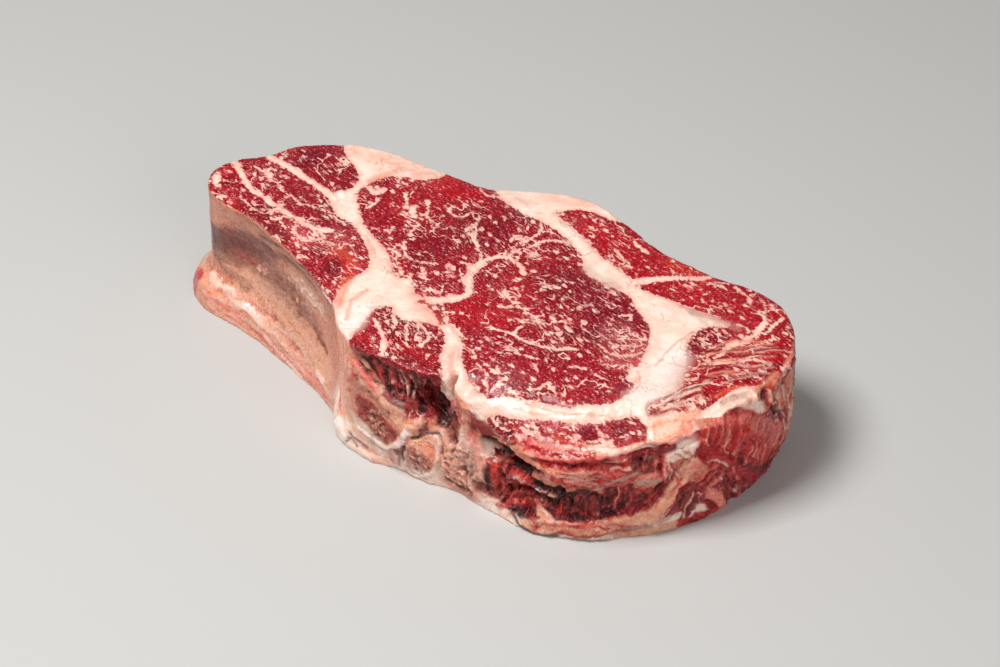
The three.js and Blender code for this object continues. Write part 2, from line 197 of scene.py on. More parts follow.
islands = [  # small patches of lean in the fat
    (1.5, [(19, -37), (21, -41.5), (24, -47)]),
    (1.6, [(-9, -21), (-4, -22.5), (1, -25.5), (4, -29)]),
]

# lines on the cut face with more marbling round them
marbledPatches = ([(72, -4), (78, -12)], [(108, -22), (113, -32)], [(-74, -3), (-62, 0)])

facePaint = [  # tints of the cut face: colour, strength, half width, feather, points
    ("violet", 0.5, 3, 4, [(-11, 59), (-4, 55), (3, 51.5), (9, 50)]),
    ("violet", 0.45, 1.5, 3, [(75, 11), (80, 6), (84, 2), (86, -1)]),
    ("violet", 0.3, 3, 4, [(25, 52)]),
    ("grey", 0.5, 2, 4, [(101, -10), (103.5, -17), (104, -24), (101, -30)]),
    ("grey", 0.45, 1.5, 3, [(42, 27), (50, 23.5), (58, 22)]),
    ("grey", 0.6, 1.5, 2, [(92, 20), (101, 20), (112, 19.5)]),
    ("orange", 0.65, 1.2, 1.8, [(-66, 41), (-63, 45), (-59, 50)]),
    ("orange", 0.45, 1.5, 3, [(-50, 52), (-40, 57), (-33, 60)]),
    ("orange", 0.55, 2, 3, [(-56, -7), (-50, -9), (-46, -13)]),
    ("orange", 0.7, 1.6, 2.5, [(-43, -19), (-42, -27), (-39, -36)]),
    ("blood", 0.75, 1.5, 1.5, [(-56, -11), (-54.5, -14)]),
    ("blood", 0.6, 2, 2, [(-48, -14), (-45, -18)]),
    ("deepRed", 0.6, 2.5, 3, [(-53, -15), (-51, -19)]),
    ("deepRed", 0.55, 2.5, 3, [(-101, 1), (-96, 4), (-94, 0)]),
    ("deepRed", 0.55, 3, 3, [(-88, -5), (-84, -6), (-80, -9)]),
    ("blood", 0.45, 4, 3, [(-122, 21), (-118, 19)]),
    ("deepRed", 0.5, 2, 3, [(-118, 16)]),
    ("blood", 0.35, 4, 5, [(-36, 53), (-36, 57)]),
    ("blood", 0.35, 5, 5, [(-110, 42), (-104, 50)]),
    ("deepRed", 0.4, 3, 4, [(-98, 47), (-94, 42)]),
    ("violet", 0.35, 2.5, 3, [(-61, 36)]),
    ("white", 0.9, 1.3, 1, [(-73.5, 29.5), (-71, 25.5)]),
    ("blood", 0.5, 3, 4, [(86, 33), (92, 30)]),
    ("orange", 0.5, 2, 4, [(70, 47), (78, 46.5), (88, 43)]),
    ("deepRed", 0.6, 2.5, 3, [(-21, -54), (-14, -55), (-5, -54), (4, -53), (14, -54)]),
    ("blood", 0.5, 2, 3, [(-22, -52), (-14, -54), (-2, -51), (12, -52)]),
    ("pink", 0.25, 1.5, 3, [(16, -43), (19, -52), (20, -57)]),
    ("peach", 0.35, 3, 4, [(-80, 57), (-64, 57), (-50, 57)]),
    ("peach", 0.35, 2, 4, [(8, 64), (22, 67)]),
    ("wine", 0.55, 10, 12, [(40, 12), (58, 6), (66, -2)]),
    ("wine", 0.4, 8, 10, [(-22, 14), (-8, 26), (2, 40)]),
    ("wine", 0.4, 8, 8, [(-92, 44), (-80, 40)]),
    ("wine", 0.35, 7, 8, [(-90, 18), (-66, 9)]),
    ("blood", 0.4, 5, 6, [(7, -14), (12, -20), (24, -16)]),
    ("blood", 0.35, 4, 5, [(-36, 2), (-30, -6), (-20, -14)]),
    ("blood", 0.4, 10, 8, [(50, 46), (70, 40), (92, 32), (110, 32), (126, 18), (126, -2), (112, -14)]),
    ("blood", 0.35, 5, 6, [(24, 56), (36, 54)]),
    ("blood", 0.35, 6, 6, [(-36, 50), (-24, 54)]),
    ("rosy", 0.2, 6, 6, [(70, -6), (77, -10), (78, -16)]),
    ("rosy", 0.15, 5, 6, [(-76, -3), (-66, -5), (-60, 2)]),
    ("orange", 0.5, 1, 2, [(17, -45), (19.5, -52), (20.5, -55)]),
    ("blood", 1, 0.3, 0.5, "457,350 456,360 454,369 451,378"),
    ("pink", 0.3, 2, 4, [(-14, -20), (-4, -27), (2, -30)]),
    ("pink", 0.35, 1, 3, [(-60, 55), (-56, 52)]),
    ("white", 0.6, 5, 5, [(97, -8), (98, -25), (95, -36)]),
    ("cream", 0.7, 4, 3, [(-36, -22), (-33, -34), (-30, -45)]),
    ("white", 0.7, 4, 4, [(-30, -38), (-28, -47)]),
    ("tan", 0.5, 0.7, 1, [(-33, -24), (-35, -33), (-31, -44)]),
    ("tan", 0.6, 0.3, 0.6, [(97.5, 9), (95.5, 4), (93.5, -1), (92.5, -8), (91.5, -16)]),
    ("tan", 0.5, 0.3, 0.6, [(87, -22), (90, -26), (91, -33), (86, -42)]),
    ("tan", 0.5, 0.25, 0.6, [(44, -52.5), (56, -54.5), (70, -54), (82, -51)]),
    ("tan", 0.5, 0.25, 0.6, [(36, -56), (50, -56.5), (66, -56), (84, -49)]),
    ("tan", 0.4, 0.3, 0.6, [(-48, 6), (-43, 1), (-39, -5)]),
    ("tan", 0.4, 0.3, 0.6, [(-50, 7.5), (-46, 3), (-41, -3)]),
    ("grey", 0.4, 0.6, 1.5, [(86, 22), (94, 18), (100, 15)]),
    # strip and end
    ("cream", 0.9, 1.8, 1.2, "648,421 658,419 668,418"),
    ("fat", 0.9, 1.5, 0.9, [(125.5, -24), (127.5, -22), (130.5, -19), (133, -16.5)]),
    ("grey", 0.7, 1, 0.9, "724,402 734,398 744,396"),
    ("cream", 0.95, 0.4, 0.5, [(124, -27.5), (127, -25), (131, -20), (133.5, -15)]),
    ("cream", 0.9, 0.4, 0.5, "751,388 753,394 758,397"),
    ("maroon", 0.95, 1, 0.8, "764,398 764,388 769,380"),
    ("red", 0.9, 1, 0.9, "759,384 757,392 760,398"),
    ("orange", 0.9, 1.4, 0.9, "772,380 768,392 768,404"),
    ("crimson", 0.85, 3, 2, "655,410 668,404 684,398 700,392 712,384"),
    ("blood", 0.5, 2, 2, "690,398 704,390 716,382"),
    ("peach", 0.9, 1.6, 1.4, [(103.5, -45), (108, -41.5), (112.5, -37), (117, -32)]),
    ("fat", 0.8, 1, 1.2, "650,421 662,418 674,415"),
    ("fat", 0.6, 1, 0.9, [(124.5, -24), (126.5, -22), (129, -18), (132.5, -16.5)]),
    ("grey", 0.8, 0.8, 0.8, "722,403 732,399 744,396"),
    ("tan", 0.8, 1.2, 1.2, "757,392 766,384 776,374"),
    ("crimson", 0.8, 1.6, 1.6, "738,380 752,377 766,372 778,364"),
    ("peach", 0.6, 0.8, 1, "786,366 794,358 798,348"),
    ("wine", 0.4, 3, 3, "700,350 712,346 706,338"),
    ("blood", 0.5, 3, 3, "735,368 755,366 775,356"),
]

# tints of the wall: colour, strength, half width, feather, lift, points; a stroke with one number more lies
# on the ledges above the wall as well, and that number is its turn there
wallPaint = [
    # membrane over the rib
    ("tan", 1, 60, 6, 0, [(52, 34)]),
    ("greyTan", 0.95, 6, 5, 0, "216,243 240,255 262,267 284,286 298,306"),
    ("brown", 0.85, 4, 5, 0, "212,234 232,238 252,244 270,252"),
    ("bone", 0.85, 7, 6, 0.3, "252,290 275,312 300,342 322,376"),
    # painted shadow: a dark line under the meat that overhangs the top edge
    ("brown", 0.8, 1.4, 2.2, -0.3, "270,250 288,260 302,272 314,286"),
    ("maroon", 0.7, 0.5, 1.2, -0.6, "262,236 278,246 292,258 306,270"),
    ("violet", 0.85, 1.6, 2, 0.5, "308,267 318,280 326,294 331,308"),
    # painted highlight: a white glint along the silverskin's lip
    ("white", 0.8, 0.4, 0.7, 0.2, "321,282 327,293 331,303"),
    ("rose", 0.35, 1.4, 2.4, 0, "240,255 252,261 264,269"),
    ("cream", 0.4, 3.2, 4, 0, "296,277 308,291 318,305"),
    # painted shade in a crease, over its dent
    ("brown", 0.75, 0.5, 1.6, -0.5, "294,300 303,313 312,325 320,338 327,352"),
    ("greyTan", 0.6, 1.6, 2.5, -0.2, "300,300 312,316 322,334"),
    # painted shade along a groove and a crease, over their dents
    ("brown", 0.55, 1, 2.4, -0.6, "214,254 222,266 236,277 250,288"),
    ("brown", 0.4, 0.5, 1.6, -0.5, "258,296 276,316 296,341 314,366"),
    ("bone", 0.6, 1.4, 2.2, 0.4, "224,264 240,276 256,290 272,308"),
    ("orange", 0.6, 1, 2, 0, "211,238 213,250"),
    # flap under it
    ("bone", 1, 5, 2.5, 0, [(4, 8), (12, 7), (30, 6), (48, 4), (70, 3), (110, 2)]),
    # painted shade: the same stroke set lower and darker, so the flap darkens towards its foot
    ("tan", 0.5, 5, 2.5, 0, [(4, 6), (12, 5), (30, 4), (48, 2), (70, 1), (110, 0)]),
    # painted highlight along a raised pale strip of the flap, partly the strip's own colour
    ("cream", 0.85, 1.1, 1.5, 0.5, "212,276 222,286 234,296 246,306"),
    ("peach", 0.8, 1.6, 2, 0.2, "202,274 208,284 218,294"),
    ("pink", 0.6, 1.3, 1.8, 0, "205,292 222,304 240,318"),
    # painted highlight: white glints on the flap
    ("white", 0.9, 1, 1, 0.4, "246,306 255,315 262,325"),
    ("cream", 0.7, 0.4, 0.9, 0.3, "226,290 232,300 240,307"),
    ("rose", 0.7, 0.35, 0.9, -0.4, "262,328 280,350 300,374 320,397"),
    ("cream", 0.8, 0.7, 1.1, 0.2, "266,336 284,358 304,382"),
    ("pink", 0.6, 0.8, 1.2, 0, "290,350 308,372 326,396"),
    ("rose", 0.6, 0.3, 0.8, -0.3, "250,326 270,346 290,370"),
    ("white", 0.6, 0.8, 1.1, 0.3, "318,373 324,381"),
    ("blood", 0.9, 1.9, 1.2, 0.2, [(9, 1), (8.5, 5), (9.5, 9)]),
    # column of fat at the corner
    ("peach", 0.95, 8, 3, 0, [(123, 56), (123, 20)]),
    ("peach", 0.85, 2.5, 2, 0, "343,338 350,350 352,365"),
    ("orange", 0.35, 1.4, 1.8, 0, "340,350 341,372"),
    ("rose", 0.7, 0.6, 1.1, -0.3, "340,378 341,393 340,408"),
    ("rose", 0.55, 1, 1.6, -0.5, "354,350 357,366 354,386"),
    ("bone", 0.8, 1.1, 1.4, 0.5, "347,352 349,372 347,394"),
    ("tan", 0.85, 1.4, 1.6, 0, "358,346 366,356"),
    # sawn bone
    ("tan", 0.9, 9, 3, 0, [(134, 30), (150, 28), (160, 20)]),
    ("bone", 1, 1.7, 1.3, 0.5, "350,362 360,372 371,384 383,398 393,411 401,424 405,434"),
    ("greyTan", 0.6, 0.8, 1.3, -0.3, "356,378 366,390 378,402 388,415"),
    ("bone", 0.9, 2, 1.8, 0.2, "347,384 347,400 352,418"),
    ("marrow", 1, 2.8, 1.6, -0.3, "361,403 371,409 381,421 390,433"),
    ("marrow", 0.85, 2, 1.5, -0.3, "362,413 372,425 384,438"),
    ("blood", 0.35, 0.8, 1.3, 0, "362,396 367,404 364,413"),
    ("deepRed", 0.35, 1, 1.4, -0.2, "368,412 378,426"),
    ("bone", 0.7, 0.9, 1.3, 0.2, "354,427 363,436 374,446"),
    ("white", 0.9, 0.9, 0.8, 0.8, "360,428 370,436 381,444 390,447 399,442 406,435 410,427"),
    ("violet", 0.4, 0.4, 0.9, 0, "372,442 384,449 396,448"),
    ("brown", 0.8, 0.7, 1.1, -0.6, "351,433 360,442 367,448"),
    ("tan", 0.7, 1.1, 1.3, 0, "366,447 376,453"),
    # cartilage
    ("white", 1, 2.3, 0.9, 0.7, "339,424 341,430 344,437"),
    ("cream", 1, 1.9, 0.9, 0.6, "350,446 358,450 366,455 374,459"),
    ("fat", 0.95, 1.5, 0.9, 0.5, "374,459 381,461 388,463"),
    ("brown", 0.7, 0.4, 0.7, -0.6, "347,441 351,438 356,444"),
    ("orange", 0.5, 0.9, 1.1, 0, "390,452 393,462"),
    ("maroon", 0.65, 0.5, 0.8, -0.6, "397,450 399,464"),
    # process bone
    ("tan", 1, 6.6, 1.1, 0.2, "421,457"),
    ("bone", 0.85, 1.9, 1.4, 0.3, "422,446 431,450"),
    ("orange", 0.35, 1.3, 1.4, 0, "428,445 433,451"),
    ("marrow", 0.6, 2.4, 1.8, -0.3, "413,464 424,467"),
    ("cream", 0.85, 0.7, 0.7, 0.5, "404,452 405,464 413,474 426,475 436,468 440,456 439,445"),
    ("violet", 0.4, 0.4, 0.7, 0, "406,450 406,462 412,471"),
    ("bone", 0.9, 0.9, 0.8, 0.5, "408,446 418,439 428,437 437,441"),
    # painted shadow in the gaps round the process bone
    ("black", 0.8, 0.5, 0.7, -1, "412,437 424,434 436,433 442,441 443,453"),
    ("black", 0.7, 0.5, 0.7, -1, "402,446 401,459"),
    ("peach", 0.95, 2.1, 1.1, 1.2, "414,424 421,422"),
    ("tan", 0.9, 1.9, 1.1, 1, "429,424 436,426"),
    ("cream", 0.6, 0.7, 0.8, 0.3, "416,421 424,420"),
    ("brown", 0.8, 0.6, 0.8, -0.9, "424,418 427,428 420,431"),
    # torn meat over the bone
    ("maroon", 0.95, 6.5, 2, 0, [(145, 51), (155, 50), (165, 47)]),
    ("crimson", 1, 2.4, 1.2, 0, [(138, 57), (145, 57), (152.5, 57), (159.5, 56.5), (166.5, 56.5),
     (172, 54)]),
    ("maroon", 1, 3.2, 1.5, -0.6, "368,363 381,375 395,387 410,397 424,405"),
    ("crimson", 0.8, 1.2, 1.1, 0.2, "388,372 400,382 412,394"),
    # painted shadow in the cracks of the torn meat
    ("black", 0.9, 0.9, 1, -1.2, "372,357 388,367 404,379 418,392"),
    ("black", 0.9, 0.8, 0.9, -1, "368,370 380,384 392,396"),
    ("crimson", 0.8, 1, 1, 0.3, "386,394 398,402 410,409"),
    ("pink", 0.85, 1.1, 1.1, 0.8, "356,363 366,375 376,389"),
    ("peach", 0.85, 0.7, 0.9, 0.6, "363,360 372,372 382,386"),
    # painted shadow filling the deep cavity beside the bone
    ("black", 1, 3.2, 1.2, -2.2, "432,388 440,396 446,408 452,422 454,434"),
    ("black", 0.95, 1.8, 1.3, -1.6, "426,396 434,406 442,420"),
    ("rose", 0.8, 0.5, 0.7, 0.6, "440,380 450,392 457,408"),
    ("black", 1, 2.6, 1.2, -0.6, "436,398 440,406 446,414 449,424"),
    ("black", 0.9, 1.2, 1, -0.5, "428,378 432,388 434,400"),
    ("cream", 0.95, 1.6, 1, 0.2, "446,376 449,386 451,395"),
    ("cream", 0.7, 0.4, 0.6, 0.5, [(176.5, 36), (177, 33.5)]),
    ("blood", 0.7, 0.6, 0.8, 0.5, [(180, 54.5), (183, 53), (185.5, 50)]),
    # rough fat beside it
    ("tan", 0.85, 9, 4, 0, [(186, 28), (187, 8)]),
    ("peach", 0.75, 3.5, 3, 0, [(186, 52), (187, 40), (189, 32)]),
    ("peach", 0.85, 2, 1.8, 0.4, "462,404 468,412 472,422"),
    ("bone", 0.85, 2.6, 2.2, 0.3, "452,450 454,466 456,478"),
    ("grey", 0.85, 2.3, 1.8, 0.3, "462,430 466,446 470,462 474,478"),
    ("pink", 0.55, 1.8, 2, 0, "479,440 483,456 487,470", 1),
    ("cream", 0.7, 0.9, 1.2, 0.5, "458,420 461,434 459,448"),
    ("rose", 0.65, 0.9, 1.2, -0.4, "470,424 474,434 478,446", 2),
    ("blood", 0.75, 1.1, 1, 0, "473,415 477,424"),
    ("greyTan", 0.7, 1.5, 1.6, -0.6, "464,470 476,480 488,487"),
    # painted shadow at the foot, where the fat is undercut
    ("brown", 0.9, 1.8, 1.4, -0.8, "480,487 491,493 503,499"),
    ("maroon", 0.75, 0.7, 1, -0.8, "448,478 460,486 472,492"),
    # strip and the gap under it
    ("tan", 1, 9, 3, 0, "530,470 600,480 700,470"),
    ("crimson", 1, 3.4, 1.6, 0, "480,424 488,432 500,440 512,446 524,450 540,454", 3),
    ("blood", 0.7, 1.2, 1, 0.3, "479,422 485,430 493,437 503,442"),
    ("peach", 0.9, 1.8, 1.5, 0.4, "514,452 522,456 531,461 539,467"),
    ("orange", 0.5, 1, 1.2, 0.2, "520,456 530,461 537,467"),
    # painted shadow in the gap under the strip, fading to maroon where it runs out
    ("black", 1, 2.4, 1.4, -3, "490,440 498,447 506,451 514,456 524,463"),
    ("maroon", 0.95, 1.5, 1.5, -2, "524,463 532,469 540,472"),
    ("deepRed", 0.9, 1, 1.2, -0.6, "486,450 492,455 500,456"),
    # ragged folds
    ("maroon", 1, 6.5, 2, 0, "500,478 512,490 522,500 535,500 548,496"),
    ("deepRed", 0.8, 2, 1.6, 0, "506,503 518,500 530,503 540,502"),
    # painted shadow in the gaps between the ragged folds
    ("black", 1, 2, 1.2, -2.2, "507,463 514,463 519,467 527,470"),
    ("black", 1, 1.1, 1, -2, "504,476 502,484 501,492"),
    ("black", 1, 1.6, 1.1, -2.2, "530,478 540,484 550,487 560,490"),
    ("black", 0.95, 0.9, 0.9, -1.6, "508,489 515,486 524,485 532,488"),
    ("black", 0.9, 0.8, 0.9, -1.4, "503,503 508,508 516,511"),
    ("black", 0.9, 1, 1, -1.6, "536,495 546,500 556,502"),
    ("blood", 0.9, 1.6, 1.2, 0.6, "496,469 496,476 499,482"),
    ("orange", 0.85, 0.8, 1, 0.6, "493,461 497,464 495,468"),
    ("tan", 0.9, 0.9, 1, 0.5, "484,458 490,459 496,458 504,459"),
    ("rose", 0.95, 1.1, 0.8, 1.6, "503,492 505,484 509,477 514,473 522,475 529,479"),
    ("grey", 0.9, 0.6, 0.7, 0.9, "508,478 513,474 519,475 527,479"),
    ("red", 0.9, 0.9, 0.8, 0.6, "509,484 517,480 526,481"),
    ("rose", 0.9, 0.5, 0.7, 0.6, "511,487 519,483 528,484"),
    ("tan", 0.9, 0.7, 0.8, 1.2, "501,500 503,494 505,489"),
    ("rose", 0.9, 0.9, 0.8, 1.3, "507,501 513,497 519,491 527,489 533,493"),
    ("orange", 0.7, 0.6, 0.7, 0.5, "515,496 519,492 526,491"),
    ("rose", 0.8, 0.7, 0.8, 0.9, "499,505 508,506 516,503 524,504"),
    ("pink", 0.8, 0.4, 0.6, 0.5, "528,498 535,499 542,503"),
    ("red", 0.85, 1, 1, 0.3, "523,497 529,502 537,505"),
    ("bone", 1, 1, 0.7, 1.2, "550,493 555,495 559,496"),
    ("cream", 0.9, 0.4, 0.5, 0.6, "536,488 539,491 544,491"),
    # soft fold under the strip
    ("rose", 1, 3.6, 1.3, 0.9, "560,474 578,476 596,478 614,477 628,473"),
    ("tan", 1, 2.8, 1, 1.3, "545,471 546,476 551,481"),
    # painted highlight along the fold's upper edge
    ("peach", 0.9, 1.2, 1, 0.7, "549,468 560,468 574,470 588,472 600,471"),
    ("fat", 0.8, 0.6, 0.8, 0.5, "556,471 566,474 580,476"),
    ("pink", 0.8, 1, 1, 0.5, "560,477 572,480 586,483 598,485"),
    ("red", 0.6, 1, 1.2, -0.3, "584,477 596,479 606,478"),
    ("orange", 0.7, 1.2, 1, 0.2, "560,481 568,485 578,486"),
    ("red", 0.7, 0.5, 0.7, -0.3, "562,478 568,482 575,483"),
    ("grey", 0.9, 1, 1, 0.5, "600,485 610,481 620,477 630,474 637,470"),
    # painted highlight continuing along the fold's upper edge
    ("cream", 0.7, 0.4, 0.6, 0.4, "596,468 610,467 622,466 634,466"),
    ("rose", 0.8, 0.5, 0.7, -0.4, "590,473 606,474 620,471 632,470"),
    ("grey", 0.8, 1.2, 1, 0.4, "586,489 598,488 610,486"),
    ("violet", 0.5, 0.8, 1, 0, "596,484 608,484 618,481"),
    ("pink", 0.85, 0.7, 0.9, 0.4, "612,485 620,482 626,480"),
    # lines of the strip over it
    ("red", 0.9, 2.6, 1.2, 0, "545,459 570,461 596,461 620,460 636,455", 5),
    ("crimson", 1, 1.2, 0.8, -0.2, "543,459 552,462 566,464 580,463 596,460 604,459"),
    ("crimson", 0.9, 0.8, 0.8, 0, "546,452 560,455 574,456 590,454", 6),
    ("fat", 0.9, 0.5, 0.6, 0.4, "536,455 548,457 562,459 578,460 592,458 606,455 620,453", 7),
    ("peach", 0.9, 0.6, 0.7, 0.4, "556,466 570,467 584,468"),
    ("orange", 0.8, 1.2, 1, 0.2, "596,464 610,463 622,462 634,458"),
    ("cream", 0.8, 0.4, 0.6, 0.4, "600,463 612,462 626,459 638,453"),
    ("fat", 0.9, 0.9, 0.8, 0.4, "596,450 610,451 622,452 634,449 642,446", 8),
    ("flesh", 0.95, 1.0, 0.9, 0, "520,441 545,449 568,454 592,456", 25),
    ("flesh", 0.95, 0.8, 0.8, 0, "514,430 538,440 561,447 584,451", 26),
    ("red", 0.9, 0.9, 0.8, -0.2, "536,457 561,464 588,467 606,468"),
    ("blood", 0.8, 0.6, 0.7, 0, "528,449 550,457 572,461 594,462", 27),
    ("pink", 0.9, 0.35, 0.5, 0.3, "516,436 540,445 564,451 588,454", 28),
    ("pink", 0.85, 0.3, 0.5, 0.3, "530,453 552,460 578,464 600,465", 29),
    # muscle behind the rim
    ("maroon", 1, 5.6, 1.4, -0.6, "566,503 580,506 596,507 612,502"),
    # painted shadow in the gaps of the muscle behind the rim
    ("black", 0.9, 1.8, 1.5, -1, "568,497 578,494 588,493 598,497"),
    ("black", 0.8, 1.4, 1.4, -0.8, "572,514 584,519 596,521 606,518"),
    ("crimson", 0.8, 1.2, 1.2, 0.2, "560,507 566,512 572,514"),
    ("crimson", 0.7, 1.2, 1.2, 0.2, "584,502 590,508 594,513"),
    ("crimson", 1, 3, 1.2, 0, "612,490 622,488 626,496 618,504"),
    ("maroon", 0.8, 1, 1, -0.5, "604,512 614,510 624,506"),
    ("pink", 0.9, 0.35, 0.5, 0.4, "611,487 611,495 609,503 606,513"),
    ("peach", 0.8, 0.35, 0.5, 0.4, "618,486 618,494 617,501"),
    ("pink", 0.7, 0.3, 0.5, 0.4, "594,507 597,514 596,519"),
    ("rose", 0.7, 0.35, 0.5, 0.3, "578,508 582,514 588,518"),
    # painted shadow in a gap
    ("black", 0.9, 0.8, 0.8, -1.2, "608,487 612,496 608,503"),
    # rim of fat at the foot
    ("bone", 1, 3, 1, 0, [(258, 1), (270, 1.5), (284, 2)]),
    ("rose", 1, 3, 1.2, 0, [(284, 1), (300, 1), (320, 2), (345, 4)]),
    ("crimson", 0.9, 1.6, 1.2, 0, [(287, 1), (291, 3)]),
    ("crimson", 0.9, 2, 1.2, 0, [(309, 1), (316, 3), (326, 4), (336, 6)]),
    ("bone", 1, 3, 1, 1, "527,524 540,525 556,527 575,530 596,529 616,524 636,519 650,515"),
    ("peach", 0.95, 1.6, 1, 0.5, "540,508 544,514 549,520"),
    ("fat", 0.85, 0.8, 0.9, 0.4, "541,507 546,512 552,519"),
    ("peach", 0.8, 0.8, 0.9, 0.5, "560,524 580,526 600,524 618,519 634,515"),
    ("cream", 0.9, 0.7, 0.8, 0.6, "519,517 522,521"),
    ("rose", 0.6, 0.6, 0.9, -0.3, "530,516 536,521 534,528"),
    # painted shadow along the rim's lower edge, at the foot
    ("maroon", 0.85, 1, 1.2, -0.4, "512,512 522,526 536,533 556,536"),
    ("brown", 0.6, 0.8, 1.4, 0, "560,533 590,534 620,530 650,524"),
    # diagonal strip of fat and the red beside it
    ("rose", 0.8, 0.5, 0.7, -0.5, "650,443 660,447 670,444 680,436", 11),
    ("pink", 0.7, 1, 1, 0.2, "684,430 690,436 698,430", 12),
    ("crimson", 1, 2.4, 1, -0.4, "634,456 646,452 658,452 670,447"),
    ("deepRed", 0.9, 2, 1, -0.5, "636,464 646,468 656,466"),
    ("maroon", 0.8, 0.8, 0.8, -0.8, "638,460 644,462 652,461 660,457"),
    ("pink", 1, 3.2, 1.4, 0.3, "664,460 668,468 664,478"),
    ("orange", 0.75, 1.2, 1, 0.2, "662,456 666,464 664,472"),
    ("red", 0.7, 0.5, 0.6, -0.2, "668,458 672,466 670,474"),
    ("grey", 0.95, 1.6, 1, 0.5, "640,482 648,481 656,480"),
    ("rose", 0.8, 0.8, 0.8, 0.4, "636,490 644,492 650,488"),
    ("pink", 0.8, 0.5, 0.7, 0.5, "640,476 648,476 656,473"),
    ("crimson", 1, 1.7, 0.8, -0.5, "678,471 670,477 662,486 655,496 646,503 632,510"),
    ("maroon", 0.9, 0.5, 0.7, -0.8, "660,482 653,492 644,499 632,504"),
    ("crimson", 0.95, 1, 0.8, -0.2, "632,498 642,496 648,490"),
    ("bone", 1, 3.4, 1, 1.1, "652,515 662,507 670,496 676,484 684,472 692,462"),
    ("peach", 0.95, 1.8, 1, 0.4, "660,508 668,498 674,486 684,472 694,460"),
    ("rose", 0.6, 0.4, 0.7, -0.3, "664,512 672,502 680,492"),
    ("violet", 0.5, 1.2, 1.2, 0, "660,520 672,514 678,506"),
    ("cream", 0.95, 2.6, 1, 1.2, "672,456 682,453 692,449 702,444"),
    ("rose", 0.7, 0.3, 0.5, -0.4, "674,452 682,455 688,460"),
    ("rose", 0.7, 0.3, 0.5, -0.4, "682,449 688,452 694,456"),
    ("pink", 0.95, 1.8, 1, 0.4, "694,466 700,460 706,454"),
    # right of it
    ("crimson", 1, 3, 1, -0.3, "684,487 696,487 706,479 714,470 718,461"),
    ("rose", 0.7, 0.5, 0.7, 0.3, "694,478 704,474 712,466"),
    ("deepRed", 1, 2, 0.9, -0.5, "679,493 683,501 686,510"),
    ("crimson", 1, 1.8, 0.9, -0.2, "692,490 691,500 688,510 684,518"),
    ("fat", 0.9, 0.35, 0.5, 0.4, "693,493 689,502 685,512 683,518"),
    ("violet", 0.8, 1.2, 0.9, 0.2, "694,506 698,500 703,496"),
    ("red", 0.9, 1.4, 1, 0, "694,516 704,514 712,510"),
    ("orange", 0.7, 0.8, 0.9, 0.3, "703,500 708,506 712,512"),
    ("pink", 1, 2.4, 1, 0.9, "710,492 718,498 722,505"),
    ("peach", 0.5, 1.2, 1, 0.3, "712,490 718,496 721,502"),
    ("crimson", 1, 1.6, 0.9, -0.4, "706,500 712,506"),
    ("crimson", 1, 2.3, 0.9, -0.4, "727,490 730,498 733,504"),
    ("maroon", 0.9, 0.5, 0.7, -0.8, "722,483 725,487 723,491"),
    ("pink", 0.9, 1, 0.9, 0.4, "738,484 739,492 738,500"),
    # crimson band that fans down to the right
    ("rose", 1, 8, 3, 0, [(295, 51), (305, 45), (314.5, 34.5), (328.5, 15)]),
    ("flesh", 1, 4.2, 1.2, -0.3, "704,448 714,446 724,442 732,438"),
    ("flesh", 1, 4.6, 1.2, -0.3, "712,454 726,454 740,450 750,452"),
    ("flesh", 1, 4.8, 1.2, -0.3, "730,464 744,464 758,464 768,462"),
    ("flesh", 1, 3.8, 1.2, -0.2, "740,475 752,477 764,473 774,468"),
    ("maroon", 0.7, 1.2, 1.6, -0.6, "742,462 752,468 762,466 772,462"),
    # painted shade in a hollow of the band
    ("black", 0.6, 1, 1.6, -0.6, "760,472 768,466"),
    ("blood", 0.55, 1.4, 1.6, 0, "706,450 716,450 728,448 738,445"),
    ("rose", 0.9, 0.8, 0.8, 0.3, "706,458 716,458 726,460 730,466"),
    ("fat", 0.8, 0.3, 0.5, 0.3, "708,461 714,460 722,463 727,468"),
    ("crimson", 0.9, 1, 0.9, -0.2, "722,470 728,478 732,486"),
    ("pink", 0.9, 0.5, 0.7, 0.4, "734,468 735,478 732,484"),
    ("crimson", 0.95, 1.4, 1, -0.2, "742,482 744,492 748,498"),
    ("pink", 0.8, 1.8, 1.5, 0.2, "702,424 714,418 730,420"),
    ("pink", 0.95, 2.8, 1.8, 0.3, "744,418 758,424 770,430 776,440"),
    ("violet", 0.45, 2, 2, 0, "752,420 764,428 772,436"),
    ("rose", 0.7, 0.6, 0.8, -0.4, "714,415 728,413 744,411 756,415", 15),
    ("fat", 1, 2, 0.9, 1, "718,406 728,401 740,397 750,398"),
    ("cream", 0.95, 0.4, 0.5, 0.5, "712,412 726,409 742,405 753,401"),
    ("cream", 0.9, 0.4, 0.5, 0.8, "751,388 753,394 758,397"),
    ("maroon", 0.95, 1, 0.8, -1.2, "764,398 764,388 769,380"),
    ("red", 0.9, 1, 0.9, 0, "759,384 757,392 760,398"),
    ("orange", 0.9, 1.4, 0.9, 0.8, "772,380 768,392 768,404"),
    ("maroon", 0.95, 1, 0.8, -1.4, "770,406 777,411 781,416"),
    ("maroon", 0.9, 0.6, 0.8, -1, "776,392 779,402 783,412"),
    ("tan", 1, 2.2, 1, 0.5, "779,378 776,390 780,404"),
    ("orange", 0.6, 0.5, 0.7, 0.3, "784,380 783,396 786,410"),
    ("tan", 1, 2.6, 1.2, 0.4, "788,376 787,396 788,414 782,432"),
    ("peach", 0.8, 0.8, 0.9, 0.4, "790,380 789,400 786,420"),
    ("pink", 0.8, 1, 1, 0.3, "777,420 779,430 774,442"),
    ("maroon", 0.7, 0.4, 0.6, -0.8, "786,420 783,430 778,440"),
    # cut edge of the strip
    ("fat", 0.9, 0.6, 0.6, 0.3, "531,435 541,438 552,443 564,447 578,449 590,448 602,446 611,442", 16),
